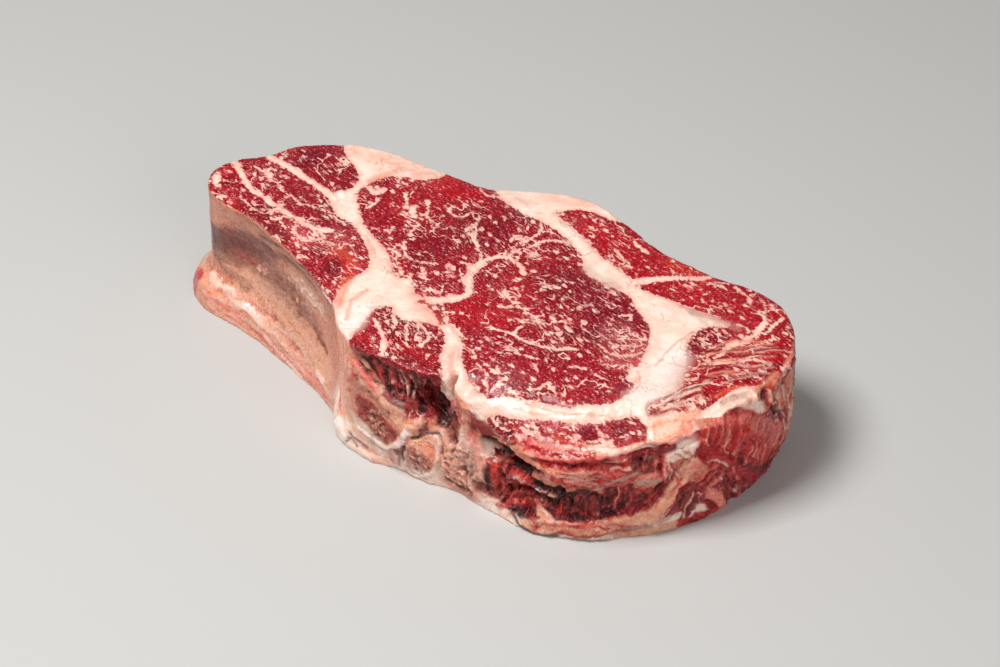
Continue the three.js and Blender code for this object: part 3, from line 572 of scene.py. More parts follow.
    ("cream", 0.9, 0.5, 0.6, 0.3, "540,442 552,446 566,450 580,452 594,450 606,450 618,452", 17),
    ("orange", 0.45, 0.9, 1, 0.1, "556,440 568,443 580,443 592,444", 18),
    ("wine", 0.6, 1.4, 1.2, 0, "582,430 590,434 588,440", 19),
    ("wine", 0.6, 1.2, 1.2, 0, "616,430 626,428 622,434", 20),
    ("blood", 0.5, 1.1, 1, 0, "505,427 518,427 528,424", 21),
    ("red", 0.6, 0.9, 0.9, 0, "558,447 570,452 584,454", 22),
    ("orange", 0.6, 0.8, 1, 0.2, "484,424 489,428 493,433"),
    ("blood", 0.6, 1.4, 1, 0, "514,444 524,447 536,449 546,453", 23),
    ("crimson", 0.9, 0.9, 0.8, -0.2, "556,454 570,456 584,457 594,455", 24),
    ("fat", 1, 1.6, 0.9, 0.8, "716,406 728,401 740,396 750,397"),
    ("grey", 0.8, 0.8, 0.8, 0, "722,403 732,399 744,396"),
    ("tan", 0.8, 1.2, 1.2, 0, "757,392 766,384 776,374"),
]
ledgePaint = [  # the strokes that lie on the ledges alone, each with its turn
    ("maroon", 0.9, 1.4, 1.4, 0, [(41, -61), (45, -62), (49, -63), (53.5, -65), (59, -68)], 4),
    ("peach", 1, 3, 1.2, 0, [(107, -50), (109.5, -46), (113, -41), (115.5, -35.5)], 9),
    ("fat", 0.9, 1.6, 1.2, 0, "652,436 664,432 676,424", 10),
    ("rose", 1, 8, 3, 0, "712,420 735,426 756,440 770,456", 13),
    ("tan", 0.9, 2.2, 1.5, 0, "702,424 714,418 730,420", 14),
    ("blood", 1, 2.4, 0.9, 0, "195,290 198,284 201,279", 30),
]
combs = [  # families of fine fibres: colour, strength, half width, lift, count, starts, ends
    ("bone", 0.25, 0.5, 0.1, 9, [(14, 24), (14, 54)], [(108, 12), (96, 50)]),
    ("brown", 0.16, 0.35, -0.1, 10, [(13, 20), (13, 56)], [(104, 10), (104, 46)]),
    ("rose", 0.35, 0.4, -0.15, 7, [(13, 2), (13, 12)], [(108, 1), (108, 6)]),
    ("fat", 0.55, 0.4, 0.25, 8, [(13, 3), (13, 13)], [(108, 1), (108, 7)]),
    ("rose", 0.45, 0.5, -0.3, 7, [(119, 54), (136, 54)], [(117, 18), (132, 32)]),
    ("pink", 1, 0.28, 0.5, 15, "372,357 392,363 412,369 434,379", "383,388 400,398 420,406 442,418"),
    # painted shadow in the gaps between the pale fibres
    ("black", 1, 0.5, -0.9, 16, "374,358 392,364 412,371 434,381", "384,389 400,399 420,407 440,418"),
    ("blood", 0.8, 0.35, 0.3, 10, "370,355 392,361 412,367 436,377", "380,378 396,388 414,396 436,404"),
    ("cream", 0.7, 0.22, 0.5, 6, "378,360 400,366 420,374", "388,384 406,394 426,404"),
    ("rose", 0.7, 0.3, 0.4, 8, "434,380 458,402", "436,414 458,436"),
    ("rose", 0.5, 0.5, -0.3, 8, [(181, 52), (190, 48)], [(180, 34), (190, 30)]),
    ("peach", 0.9, 0.4, 0.5, 9, "489,437 500,442 512,447 526,452", "510,432 524,440 540,446 556,452"),
    ("pink", 0.9, 0.35, 0.4, 7, "541,451 542,458", "636,452 638,460"),
    ("crimson", 0.8, 0.35, -0.3, 6, "541,453 542,462", "630,456 632,464"),
    ("pink", 0.85, 0.3, 0.5, 10, "497,470 540,500", "506,500 560,508"),
    # painted shadow in the gaps between the fibres
    ("black", 0.75, 0.4, -0.8, 9, "497,466 536,492", "504,500 560,508"),
    ("grey", 0.6, 0.4, 0.3, 7, "560,469 561,486", "632,466 632,482"),
    ("rose", 0.7, 0.4, -0.4, 8, "558,468 560,488", "634,466 634,484"),
    ("fat", 0.6, 0.35, 0.3, 5, "556,468 562,486", "600,470 600,488"),
    ("pink", 0.8, 0.3, 0.4, 8, "602,488 632,482", "604,516 628,508"),
    ("maroon", 0.8, 0.4, -0.6, 9, "560,500 632,484", "566,516 628,510"),
    ("rose", 0.6, 0.25, 0.3, 9, "562,500 604,492", "570,516 608,520"),
    ("rose", 0.5, 0.4, -0.3, 8, "520,520 560,522", "600,530 655,520"),
    ("pink", 0.9, 0.35, 0.5, 8, "636,454 664,452", "634,470 660,472"),
    ("maroon", 0.8, 0.35, -0.6, 7, "636,454 664,452", "634,470 660,472"),
    ("cream", 0.7, 0.35, 0.4, 6, "656,456 672,462", "664,482 682,474"),
    ("red", 0.7, 0.35, -0.3, 6, "656,456 674,460", "662,482 680,478"),
    ("rose", 0.6, 0.35, -0.3, 6, "656,506 668,514", "684,464 698,468"),
    ("cream", 0.7, 0.35, 0.3, 5, "690,418 698,426", "650,436 660,446"),
    ("rose", 0.6, 0.3, -0.3, 5, "692,420 700,432", "652,438 664,448"),
    ("pink", 0.8, 0.35, 0.4, 8, "716,462 728,470", "686,484 700,496"),
    ("pink", 0.7, 0.3, 0.4, 7, "722,468 742,474", "722,506 748,498"),
    ("maroon", 0.7, 0.35, -0.5, 6, "722,468 742,474", "722,506 748,498"),
    ("peach", 0.85, 0.4, 0.5, 15, "703,424 716,417 732,420 748,428 764,438 778,446",
     "702,444 714,450 726,458 740,464 756,466 770,462"),
    ("pink", 0.6, 0.3, 0.4, 9, "700,426 716,420 732,424 748,432 764,442 776,450",
     "700,448 713,456 728,466 744,472 758,474 768,468"),
    ("blood", 0.85, 0.5, -0.4, 17, "703,426 716,420 732,424 748,430 764,440 778,448",
     "702,440 714,444 726,450 740,456 756,460 770,460"),
    ("pink", 0.7, 0.4, 0.4, 10, "720,412 752,410 774,420 784,424", "718,424 748,430 766,442 778,450"),
    ("rose", 0.7, 0.4, -0.4, 10, "720,412 752,410 774,420 784,424", "718,424 748,430 766,442 778,450"),
    ("orange", 0.6, 0.5, 0.3, 8, "758,380 772,376 796,378", "762,408 780,430 788,430"),
    ("cream", 0.7, 0.35, 0.4, 8, "760,382 776,376 798,380", "764,404 782,430 790,428"),
    ("maroon", 0.7, 0.35, -0.7, 7, "760,382 774,376 796,380", "764,406 780,430 788,428"),
    ("peach", 0.6, 0.5, 0.3, 6, "796,380 792,420", "780,440 778,452"),
]
faceCombs = [  # families of fine streaks in the cut face: colour, strength, half width, count, starts, ends
    ("peach", 0.9, 0.35, 9, "650,413 658,404 668,399 680,393", "704,404 708,394 714,384 722,376"),
    ("crimson", 0.9, 0.4, 9, "650,413 658,404 668,399 680,393", "704,404 708,394 714,384 722,376"),
    ("cream", 0.8, 0.25, 5, "652,412 664,402", "700,400 716,380"),
    ("peach", 0.85, 0.4, 10, "688,386 690,366 692,348", "745,374 765,360 785,340"),
    ("crimson", 0.8, 0.5, 9, "688,384 690,366 692,350", "740,376 760,364 780,345"),
    ("fat", 0.85, 0.35, 8, "722,384 730,370 735,352", "768,376 782,366 795,345"),
    ("crimson", 0.8, 0.5, 7, "722,386 730,372 735,356", "768,378 784,366 796,350"),
    ("orange", 0.6, 0.4, 6, "700,404 720,392", "730,390 760,384"),
]
speckled = [  # scattered dots on the wall: colour, count, half width, lift, middle, spread
    ("cream", 70, 0.5, 0.25, (77, 38), (13, 6)),
    ("bone", 60, 0.5, 0.2, (72, 34), (18, 8)),
    ("fat", 14, 0.4, 0.2, (42, 28), (6, 1.5)),
    ("maroon", 44, 0.35, -0.35, (147, 24), (6, 8)),
    ("bone", 70, 0.4, 0.3, (148, 23), (6, 8)),
    ("brown", 40, 0.35, -0.3, (167, 11), (5, 6)),
    ("fat", 30, 0.4, 0.2, (168, 12), (7, 7)),
    ("fat", 90, 0.6, 0.35, (186, 16), (9, 13)),
    ("greyTan", 70, 0.6, -0.35, (187, 15), (9, 13)),
    ("pink", 60, 0.4, 0.3, (208, 15), (9, 9)),
    ("pink", 60, 0.3, 0.3, (243, 17), (13, 6)),
    ("maroon", 50, 0.8, -0.4, (242, 17), (12, 6)),
    ("maroon", 40, 0.6, -0.4, (210, 16), (10, 9)),
]


# arrays, noise and lines

def vectors(items, name):
    flat = np.empty(len(items) * 3)
    items.foreach_get(name, flat)
    return flat.reshape(-1, 3)


def newObject(name, mesh):
    thing = bpy.data.objects.new(name, mesh)
    scene.collection.objects.link(thing)
    return thing


def applied(thing):
    # the object with its modifiers made real
    bpy.context.view_layer.update()
    mesh = bpy.data.meshes.new_from_object(thing.evaluated_get(bpy.context.evaluated_depsgraph_get()))
    old = thing.data
    thing.modifiers.clear()
    thing.data = mesh
    bpy.data.meshes.remove(old)
    return thing


def smoothStep(value, low, high):
    t = np.clip((value - low) / (high - low), 0, 1)
    return t * t * (3 - 2 * t)


def unevenness(points, size, seed, octaves=3):
    # seeded value noise from about -1 to 1; size is the width of its lumps
    total = np.zeros(len(points))
    weight = 0.0
    for octave in range(octaves):
        lattice = np.random.default_rng(seed * 10 + octave).uniform(-1, 1, (32, 32, 32))
        place = points * (2.0 ** octave / size) + 7.31 * (octave + 1)
        cell = np.floor(place).astype(int)
        t = place - cell
        t = t * t * (3 - 2 * t)
        value = 0
        for corner in range(8):
            step = np.array([corner & 1, corner >> 1 & 1, corner >> 2 & 1])
            share = np.where(step, t, 1 - t).prod(1)
            at = (cell + step) % 32
            value = value + share * lattice[at[:, 0], at[:, 1], at[:, 2]]
        total += value * 0.5 ** octave
        weight += 0.5 ** octave
    return total / weight * 1.6


def splineThrough(points, steps, closed=False):
    points = np.array(points, float)
    count = len(points)
    if count == 1:
        return points
    line = []
    for i in range(count if closed else count - 1):
        if closed:
            a, b, c, d = (points[(i + k) % count] for k in (-1, 0, 1, 2))
        else:
            a, b, c, d = (points[min(max(i + k, 0), count - 1)] for k in (-1, 0, 1, 2))
        for k in range(steps):
            t = k / steps
            line.append(0.5 * (2 * b + (c - a) * t + (2 * a - 5 * b + 4 * c - d) * t * t
                               + (3 * b - a - 3 * c + d) * t ** 3))
    if not closed:
        line.append(points[-1])
    return np.array(line)


def lineDistance(points, line):
    if len(line) == 1:
        return np.linalg.norm(points - line[0], axis=1)
    best = np.full(len(points), 1e18)
    for start, end in zip(line[:-1], line[1:]):
        step = end - start
        offset = points - start
        t = np.clip(offset @ step / max(step @ step, 1e-12), 0, 1)
        best = np.minimum(best, ((offset - t[:, None] * step) ** 2).sum(1))
    return np.sqrt(best)


outline = splineThrough(roast["outline"], 8, closed=True) + np.array(roast["middle"])
outlineSteps = np.roll(outline, -1, 0) - outline
outlineLengths = np.linalg.norm(outlineSteps, axis=1)
outlineStarts = np.concatenate([[0], np.cumsum(outlineLengths)])


def roundTheWall(plan):
    # how many mm round the outline each point of the plan lies
    best = np.full(len(plan), 1e18)
    around = np.zeros(len(plan))
    for start, step, length, at in zip(outline, outlineSteps, outlineLengths, outlineStarts):
        offset = plan - start
        t = np.clip(offset @ step / length ** 2, 0, 1)
        distance = ((offset - t[:, None] * step) ** 2).sum(1)
        nearer = distance < best
        best[nearer] = distance[nearer]
        around[nearer] = at + t[nearer] * length
    return around


def signedAround(around):
    return np.where(around > outlineStarts[-1] - roast["tip"], around - outlineStarts[-1], around)


# the uncut blank: one fine surface over all the solids

def mergedCopy(node):
    mesh = nodes[node].data.copy()
    bm = bmesh.new()
    bm.from_mesh(mesh)
    bmesh.ops.remove_doubles(bm, verts=bm.verts, dist=1e-6)
    bm.to_mesh(mesh)
    bm.free()
    return mesh


def makeBlank():
    bm = bmesh.new()
    for node in nodes:
        mesh = mergedCopy(node)
        bm.from_mesh(mesh)
        bpy.data.meshes.remove(mesh)
    bm.normal_update()
    for vert in bm.verts:
        vert.co += vert.normal * roast["grow"] * mm
    mesh = bpy.data.meshes.new("blank")
    bm.to_mesh(mesh)
    bm.free()
    blank = newObject("blank", mesh)
    remesh = blank.modifiers.new("fine", "REMESH")
    remesh.mode = "VOXEL"
    remesh.voxel_size = roast["grain"] * mm
    smooth = blank.modifiers.new("soft", "SMOOTH")
    smooth.factor = 0.5
    smooth.iterations = roast["smoothing"]
    return applied(blank)


# places on the solids

view = {  # millimetres and degrees
    "target": (28.0, -25.1, 57.0), "azimuth": 26, "elevation": 40, "distance": 1333.3, "lens": 120,
    "sensor": 36, "frame": (1000, 667),
}


def cameraPose():
    a, e = math.radians(view["azimuth"]), math.radians(view["elevation"])
    back = Vector((math.sin(a) * math.cos(e), -math.cos(a) * math.cos(e), math.sin(e)))
    return (Vector(view["target"]) + back * view["distance"]) * mm, (-back).to_track_quat("-Z", "Y")


def seenPlaces(marks, tree):
    # the points that the camera sees at marks in its frame; a mark just off the edge takes the point where its
    # ray comes nearest, between just over the top and the floor
    start, turn = cameraPose()
    width, height = view["frame"]
    points = []
    for mark in marks.split():
        x, y = (float(v) for v in mark.split(","))
        ray = turn @ Vector((x - width / 2, height / 2 - y, -view["lens"] / view["sensor"] * width))
        hit = tree.ray_cast(start, ray)[0]
        if hit is None:
            high, low = (start + ray * ((z * mm - start.z) / ray.z) for z in (roast["top"] + 3, 0))
            near = [tree.find_nearest(high.lerp(low, i / 40)) for i in range(41)]
            hit = min(near, key=lambda found: found[3])[0]
        points.append(hit / mm)
    return np.array(points)


def onPlan(path, tree):
    return seenPlaces(path, tree)[:, :2] if isinstance(path, str) else np.array(path, float)


def onWall(path, tree):
    if not isinstance(path, str):
        return np.array(path, float)
    places = seenPlaces(path, tree)
    return np.stack([signedAround(roundTheWall(places[:, :2])), places[:, 2]], 1)


def treeOf(names):
    corners, faces = [], []
    for name in names:
        mesh = nodes[name].data
        base = len(corners)
        corners += [v.co.copy() for v in mesh.vertices]
        faces += [[base + i for i in p.vertices] for p in mesh.polygons]
    return BVHTree.FromPolygons(corners, faces)


def distancesTo(tree, points, reach=12):
    # mm to the nearest of a tree's faces
    found = np.full(len(points), float(reach))
    for i, point in enumerate(points * mm):
        near = tree.find_nearest(Vector(point), reach * mm)
        if near[0] is not None:
            found[i] = near[3] / mm
    return found


# what each point of the surface is

brightness = np.array([0.21, 0.72, 0.07])
relief = {  # mm
    "folds": 0.5, "fibres": 0.3, "lumps": 0.6, "grit": 0.35,  # of the torn wall
    "wall": 0.35,  # of the rest of the wall
    "face": 0.3, "faceGrit": 0.22, "fat": 0.25, "seams": 0.15,  # of the cut face
}


def leanAndMarble(sample, plan, face):
    # mm into the meat, below 0 in fat, and how marbled the nearest muscle is
    meat = distancesTo(treeOf(muscles), sample)
    other = distancesTo(treeOf([n for n in nodes if n not in muscles]), sample)
    marble = np.full(len(sample), 0.4)
    closest = np.full(len(sample), 3.0)
    for name, amount in muscles.items():
        near = distancesTo(treeOf([name]), sample, 3)
        nearer = near < closest
        closest[nearer] = near[nearer]
        marble[nearer] = amount
    for path in marbledPatches:
        marble += 0.6 * smoothStep(11 - lineDistance(plan, np.array(path)), 0, 7) * face
    return other - meat, marble


def drawVeins(lean, points, shaken, where, face, whole):
    # lines of fat and patches of lean, a little ragged
    swell = 1 + 0.5 * unevenness(points, 5, 13)
    veinNear = np.full(len(points), 9.0)
    for half, path in veins:
        line = splineThrough(onPlan(path, whole), 5)
        low, high = line.min(0) - 8, line.max(0) + 8
        near = np.flatnonzero(where & (shaken >= low).all(1) & (shaken <= high).all(1))
        edge = lineDistance(shaken[near], line) - half * swell[near]
        veinNear[near] = np.minimum(veinNear[near], edge)
    lean = np.minimum(lean, veinNear)
    for half, path in islands:
        line = splineThrough(path, 5)
        lean = np.where(face, np.maximum(lean, half * swell - lineDistance(shaken, line)), lean)
    return lean


class Coat:
    # colours, their strength and relief, painted on the surface as it lies flat in a plan
    def __init__(self, plan, lift):
        self.plan = plan
        self.lift = lift
        self.tint = np.zeros((len(plan), 4))

    def stroke(self, where, colour, strength, half, feather, height, path):
        line = splineThrough(path, 4) if len(path) > 2 else path
        reach = half + feather + 0.1
        low, high = line.min(0) - reach, line.max(0) + reach
        near = np.flatnonzero(where & (self.plan >= low).all(1) & (self.plan <= high).all(1))
        if not len(near):
            return
        inside = half - lineDistance(self.plan[near], line)
        share = smoothStep(inside, -feather, feather * 0.4) * strength
        old = self.tint[near]
        alpha = old[:, 3] + share - old[:, 3] * share
        blend = (share / np.maximum(alpha, 1e-6))[:, None]
        self.tint[near, :3] = old[:, :3] * (1 - blend) + np.array(linear(colour)) * blend
        self.tint[near, 3] = alpha
        if height:
            self.lift[near] += height * smoothStep(inside, -max(feather, 0.8), max(feather * 0.4, 0.3))

    def family(self, where, rng, colour, strength, half, height, number, starts, ends):
        # fine strokes, each part of the way from one line to the other
        starts, ends = splineThrough(starts, 8), splineThrough(ends, 8)
        for i in range(number):
            t = (i + rng.uniform(0.1, 0.9)) / number
            low, high = (np.array([np.interp(t, np.linspace(0, 1, len(line)), line[:, k]) for k in (0, 1)])
                         for line in (starts, ends))
            a, b = rng.uniform(0, 0.35), rng.uniform(0.65, 1)
            bend = rng.normal(0, 0.05, 2) * np.linalg.norm(high - low)
            path = np.array([low + (high - low) * a, low + (high - low) * (a + b) / 2 + bend,
                             low + (high - low) * b])
            self.stroke(where, colour, strength * rng.uniform(0.5, 1), half * rng.uniform(0.6, 1.4), 0.7,
                        height, path)


def paintFace(up, shaken, where, lift, whole):
    coat = Coat(shaken, lift)
    for colour, strength, half, feather, path in facePaint:
        coat.stroke(where, colour, strength, half, feather, 0, onPlan(path, whole))
    ledges = where & (up < roast["ledges"])
    shared = [row for row in wallPaint if len(row) > 6]
    for colour, strength, half, feather, _, path, _ in sorted(shared + ledgePaint, key=lambda row: row[6]):
        coat.stroke(ledges, colour, strength, half, feather, 0, onPlan(path, whole))
    rng = np.random.default_rng(6)
    for colour, strength, half, number, starts, ends in faceCombs:
        coat.family(where, rng, colour, strength, half, 0.15, number, onPlan(starts, whole),
                    onPlan(ends, whole))
    return coat.tint


def paintWall(points, around, where, lift, whole):
    # drawn on the strip that the wall unrolls to
    plan = np.stack([along + 0.8 * unevenness(points, 5, 14 + k) + 0.3 * unevenness(points, 1.7, 16 + k, 1)
                     for k, along in enumerate((around, points[:, 2]))], 1)
    coat = Coat(plan, lift)
    for colour, strength, half, feather, height, path, *_ in wallPaint:
        coat.stroke(where, colour, strength, half, feather, height, onWall(path, whole))
    rng = np.random.default_rng(5)
    for colour, strength, half, height, number, starts, ends in combs:
        coat.family(where, rng, colour, strength, half, height, number, onWall(starts, whole),
                    onWall(ends, whole))
    for colour, number, half, height, middle, spread in speckled:
        for _ in range(number):
            turn, out = rng.uniform(0, 2 * math.pi), rng.uniform(0, 1) ** 0.6
            spot = [m + s * out * f(turn) for m, s, f in zip(middle, spread, (math.cos, math.sin))]
            coat.stroke(where, colour, rng.uniform(0.5, 0.95), half * rng.uniform(0.5, 1.3), 0.6, height,
                        np.array([spot]))
    # the middle tones of the torn end are red rather than brown
    bright = coat.tint[:, :3] @ brightness
    red = smoothStep(around, 192, 200) * (1 - smoothStep(around, 345, 352))
    red = red * (1 - smoothStep(bright, 0.2, 0.4))
    coat.tint[:, 1:3] *= 1 - 0.45 * red[:, None]
    return coat.tint


def backSkin(points, back):
    # fat and membrane, worn through in places
    film = unevenness(points * (1, 1, 0.7), 20, 33) + 0.5 * unevenness(points, 5, 34, 2)
    film = back * smoothStep(film + 0.25 * smoothStep(points[:, 2], 10, 50), -0.35, 0.25)
    blush = smoothStep(unevenness(points * (0.5, 0.5, 1.1), 9, 35), -0.5, 0.6)[:, None]
    skin = np.array(linear("fat")) * (1 - blush) + np.array(linear("pink")) * blush
    return np.concatenate([skin, film[:, None] * 0.9], 1)


def carve(points, around, wall, lean, tint, lift):
    # fibres and folds of the torn wall, with painted shade in its hollows, gentle everywhere else; also says
    # where fibres lie and how torn it is
    up = points[:, 2]
    away = np.abs(around - 286)
    fan = 0.64 * (1 - 0.8 * smoothStep(away, 15, 45))
    across = np.where(around < 190, around * 0.6 + up * 0.5,
                      0.77 * away + 0.2 * np.maximum(away - 20, 0) + up * fan)
    ragged = smoothStep(around, *roast["torn"]) * (1 - smoothStep(around, *roast["back"]))
    fold = np.stack([across, up * 0.25, around * 0.1], 1)
    folds = 1 - 2 * np.abs(unevenness(fold, 5, 21, 2))
    fibre = unevenness(fold, 1.7, 22, 2)
    lumps = unevenness(points, 8, 23)
    bright = tint[:, :3] @ brightness
    dark = tint[:, 3] * (1 - smoothStep(bright, 0.1, 0.36)) + (1 - tint[:, 3]) * smoothStep(lean, -0.5, 1)
    lift += wall * ragged * (dark * (relief["folds"] * folds + relief["fibres"] * fibre)
                             + relief["lumps"] * lumps + relief["grit"] * unevenness(points, 3, 27, 2))
    # painted shade: the hollows of the torn wall darken towards maroon, the deeper the darker
    low = (wall * ragged * smoothStep(-lift, 0.2, 1.6) * 0.6)[:, None]
    tint[:, :3] = tint[:, :3] * (1 - low) + np.array(linear("maroon")) * low
    lift += wall * (1 - ragged) * relief["wall"] * unevenness(points * (1, 1, 0.6), 12, 24)
    soft = smoothStep(-lean, 0, 3)
    lift += (1 - wall) * (relief["face"] * unevenness(points, 9, 25)
                          + relief["faceGrit"] * unevenness(points, 3, 26, 2) + relief["fat"] * soft
                          - relief["seams"] * smoothStep(1.2 - np.abs(lean), 0, 1.2))
    return across, wall * ragged


def describe(points, normals):
    # lean: mm into the meat, below 0 in fat; tint: painted colour and its strength; lift: relief in mm
    whole = treeOf(nodes)
    up = points[:, 2]
    face = up > roast["foot"]
    wall = 1 - smoothStep(np.abs(normals[:, 2]), 0.45, 0.8)
    wall[(up < roast["foot"]) & (normals[:, 2] > 0)] = 1
    around = roundTheWall(points[:, :2])
    back = wall * smoothStep(around, *roast["back"])

    # on the back the seams wander as they go down
    slant = np.stack([unevenness(points * (1, 1, 1.3), 26, 31), unevenness(points * (1, 1, 1.3), 26, 32),
                      np.zeros(len(points))], 1)
    sample = points + 11 * (back * smoothStep(roast["top"] - up, 0, 18))[:, None] * slant
    lean, marble = leanAndMarble(sample, points[:, :2], face)
    shaken = points[:, :2] + 0.6 * np.stack([unevenness(points, 3.5, 11), unevenness(points, 3.5, 12)], 1)
    lean = drawVeins(lean, points, shaken, face & ((wall < 0.9) | (up > roast["rim"])), face, whole)

    lift = np.zeros(len(points))
    faceTint = paintFace(up, shaken, face & (wall < 0.97), lift, whole)
    around = signedAround(around)
    wallTint = paintWall(points, around, (around < roast["back"][0]) & (wall > 0.02), lift, whole)
    wallTint = np.where(back[:, None] > 0, backSkin(points, back), wallTint)
    share = wall[:, None]
    mixed = faceTint[:, 3:] * (1 - share) + wallTint[:, 3:] * share
    colour = faceTint[:, :3] * faceTint[:, 3:] * (1 - share) + wallTint[:, :3] * wallTint[:, 3:] * share
    tint = np.concatenate([colour / np.maximum(mixed, 1e-6), mixed], 1)
    across, ragged = carve(points, around, wall, lean, tint, lift)
    return {"lean": lean, "marble": marble, "tint": tint, "wall": wall, "across": across, "lift": lift,
            "ragged": ragged}


# the pieces, cut from the blank

cut = {  # mm, then the least and most upward share of the normals of a wall
    "reach": 6, "close": 0.15, "touching": 1.2, "under": -0.9, "over": 0.6,
}


def cutterFor(node, others):
    # the node's solid, run on past the blank where it shows and closed up to its neighbours inside
    mesh = mergedCopy(node)
    bm = bmesh.new()
    bm.from_mesh(mesh)
    bpy.data.meshes.remove(mesh)
    bm.normal_update()
    inner = {face: others.find_nearest(face.calc_center_median(), cut["touching"] * mm)[0] is not None
             for face in bm.faces}
    shifts = []
    for vert in bm.verts:
        shift = Vector()
        outer = [f for f in vert.link_faces if not inner[f]]
        wall = [f for f in outer if cut["under"] <= f.normal.z <= cut["over"]]
        if any(f.normal.z > cut["over"] for f in outer):
            shift.z += cut["reach"]
        if any(f.normal.z < cut["under"] for f in outer):
            shift.z -= cut["reach"]
        flat = sum((f.normal * f.calc_area() ** 0.5 for f in wall), Vector())
        flat.z = 0
        if flat.length > 1e-9:
            shift += flat.normalized() * cut["reach"]
        inside = sum((f.normal for f in vert.link_faces if inner[f]), Vector())
        if inside.length > 1e-6:
            shift += inside.normalized() * cut["close"]
        shifts.append((vert, shift))
    for vert, shift in shifts:
        vert.co += shift * mm
    mesh = bpy.data.meshes.new("cutter")
    bm.to_mesh(mesh)
    bm.free()
    # its faces take a second material, so that the cut can be told from the outside
    mesh.materials.clear()
    mesh.materials.append(None)
    mesh.materials.append(None)
    mesh.polygons.foreach_set("material_index", np.ones(len(mesh.polygons), int))
    return newObject("cutter", mesh)


def cutPiece(blank, cutter, name, operation):
    piece = newObject(name, blank.data.copy())
    boolean = piece.modifiers.new("cut", "BOOLEAN")
    boolean.operation = operation
    boolean.solver = "MANIFOLD"
    boolean.object = cutter
    boolean.material_mode = "INDEX"
    return applied(piece)


def finishPiece(piece, kd, about, material, node):
    # marks the edges between the cut and the outside, and carries over what each point is
    mesh = piece.data
    bm = bmesh.new()
    bm.from_mesh(mesh)
    for edge in bm.edges:
        kinds = {f.material_index for f in edge.link_faces}
        edge.smooth = len(kinds) < 2
    for face in bm.faces:
        face.smooth = True
        face.material_index = 0
    bm.to_mesh(mesh)
    bm.free()
    mesh.materials.clear()
    mesh.materials.append(material)
    near, shares = [], []
    for vert in mesh.vertices:
        found = kd.find_n(vert.co, 3)
        weights = [1 / (f[2] + 1e-7) for f in found]
        near.append([f[1] for f in found])
        shares.append([w / sum(weights) for w in weights])
    near, shares = np.array(near), np.array(shares)
    for name in ("lean", "marble", "wall", "across", "ragged"):
        attribute = mesh.attributes.new(name, "FLOAT", "POINT")
        attribute.data.foreach_set("value", (about[name][near] * shares).sum(1).astype(np.float32))
    tint = (about["tint"][near] * shares[:, :, None]).sum(1)
    attribute = mesh.attributes.new("tint", "FLOAT_COLOR", "POINT")
    attribute.data.foreach_set("color", tint.astype(np.float32).ravel())
    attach(piece, "root")
    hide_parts(node)


# the flesh: one group of nodes with the colours and relief of every piece

flesh = bpy.data.node_groups.new("flesh", "ShaderNodeTree")
lie = {  # of the meat's grain, and of the rib's long streaks
    "turn": math.radians(-24), "stretch": (1.6, 1, 1.3), "drawn": (0.45, 1, 1),
    "rowTurn": (math.radians(7), math.radians(-7), 0), "rows": (75, 75, 900),
}


def add(kind, inputs=None, **settings):
    # inputs go by name or number, and may be links or values
    node = flesh.nodes.new(kind)
    for key, value in settings.items():
        setattr(node, key, value)
    for key, value in (inputs or {}).items():
        if isinstance(value, bpy.types.NodeSocket):
            flesh.links.new(value, node.inputs[key])
        else:
            node.inputs[key].default_value = value
    return node


def attribute(name):
    return add("ShaderNodeAttribute", attribute_name=name).outputs["Fac"]


def calc(operation, a, b=0.5, c=0.5):
    return add("ShaderNodeMath", {0: a, 1: b, 2: c}, operation=operation).outputs[0]


def times(*factors):
    value = factors[0]
    for factor in factors[1:]:
        value = calc("MULTIPLY", value, factor)
    return value


def total(*terms):
    value = terms[0]
    for term in terms[1:]:
        value = calc("ADD", value, term)
    return value


def rest(value):
    return calc("SUBTRACT", 1.0, value)


def off(value):
    # how far noise lies from its middle
    return calc("SUBTRACT", value, 0.5)


def swing(value, by):
    # noise stretched to half of by on either side of 0
    return calc("MULTIPLY_ADD", value, by, -by / 2)


def between(value, low, high, out=(0, 1)):
    return add("ShaderNodeMapRange", {0: value, 1: low, 2: high, 3: out[0], 4: out[1]},
               interpolation_type="SMOOTHSTEP").outputs[0]


def mix(share, a, b):
    return add("ShaderNodeMix", {0: share, 6: a, 7: b}, data_type="RGBA").outputs[2]


def shade(name, by=1.0):
    return (*[c * by for c in linear(name)], 1)


def noise(vector, size, detail=2.0, rough=0.55):
    return add("ShaderNodeTexNoise", {"Vector": vector, "Scale": 1 / size, "Detail": detail,
                                      "Roughness": rough}).outputs["Fac"]


def spots(vector, size):
    # distance to the nearest of scattered points, and a random share of each
    node = add("ShaderNodeTexVoronoi", {"Vector": vector, "Scale": 1 / size})
    return node.outputs["Distance"], add("ShaderNodeSeparateColor", {0: node.outputs["Color"]}).outputs[0]


def ridge(value):
    # 1 along the lines where noise crosses its middle
    return rest(times(calc("ABSOLUTE", off(value)), 2.0))


def pushed(vector, size, by):
    # places pushed about by noise
    push = add("ShaderNodeTexNoise", {"Vector": vector, "Scale": 1 / size}).outputs["Color"]
    push = add("ShaderNodeVectorMath", {0: push, 1: (0.5, 0.5, 0.5)}, operation="SUBTRACT").outputs[0]
    return add("ShaderNodeVectorMath", {0: push, 1: (by, by, by), 2: vector},
               operation="MULTIPLY_ADD").outputs[0]


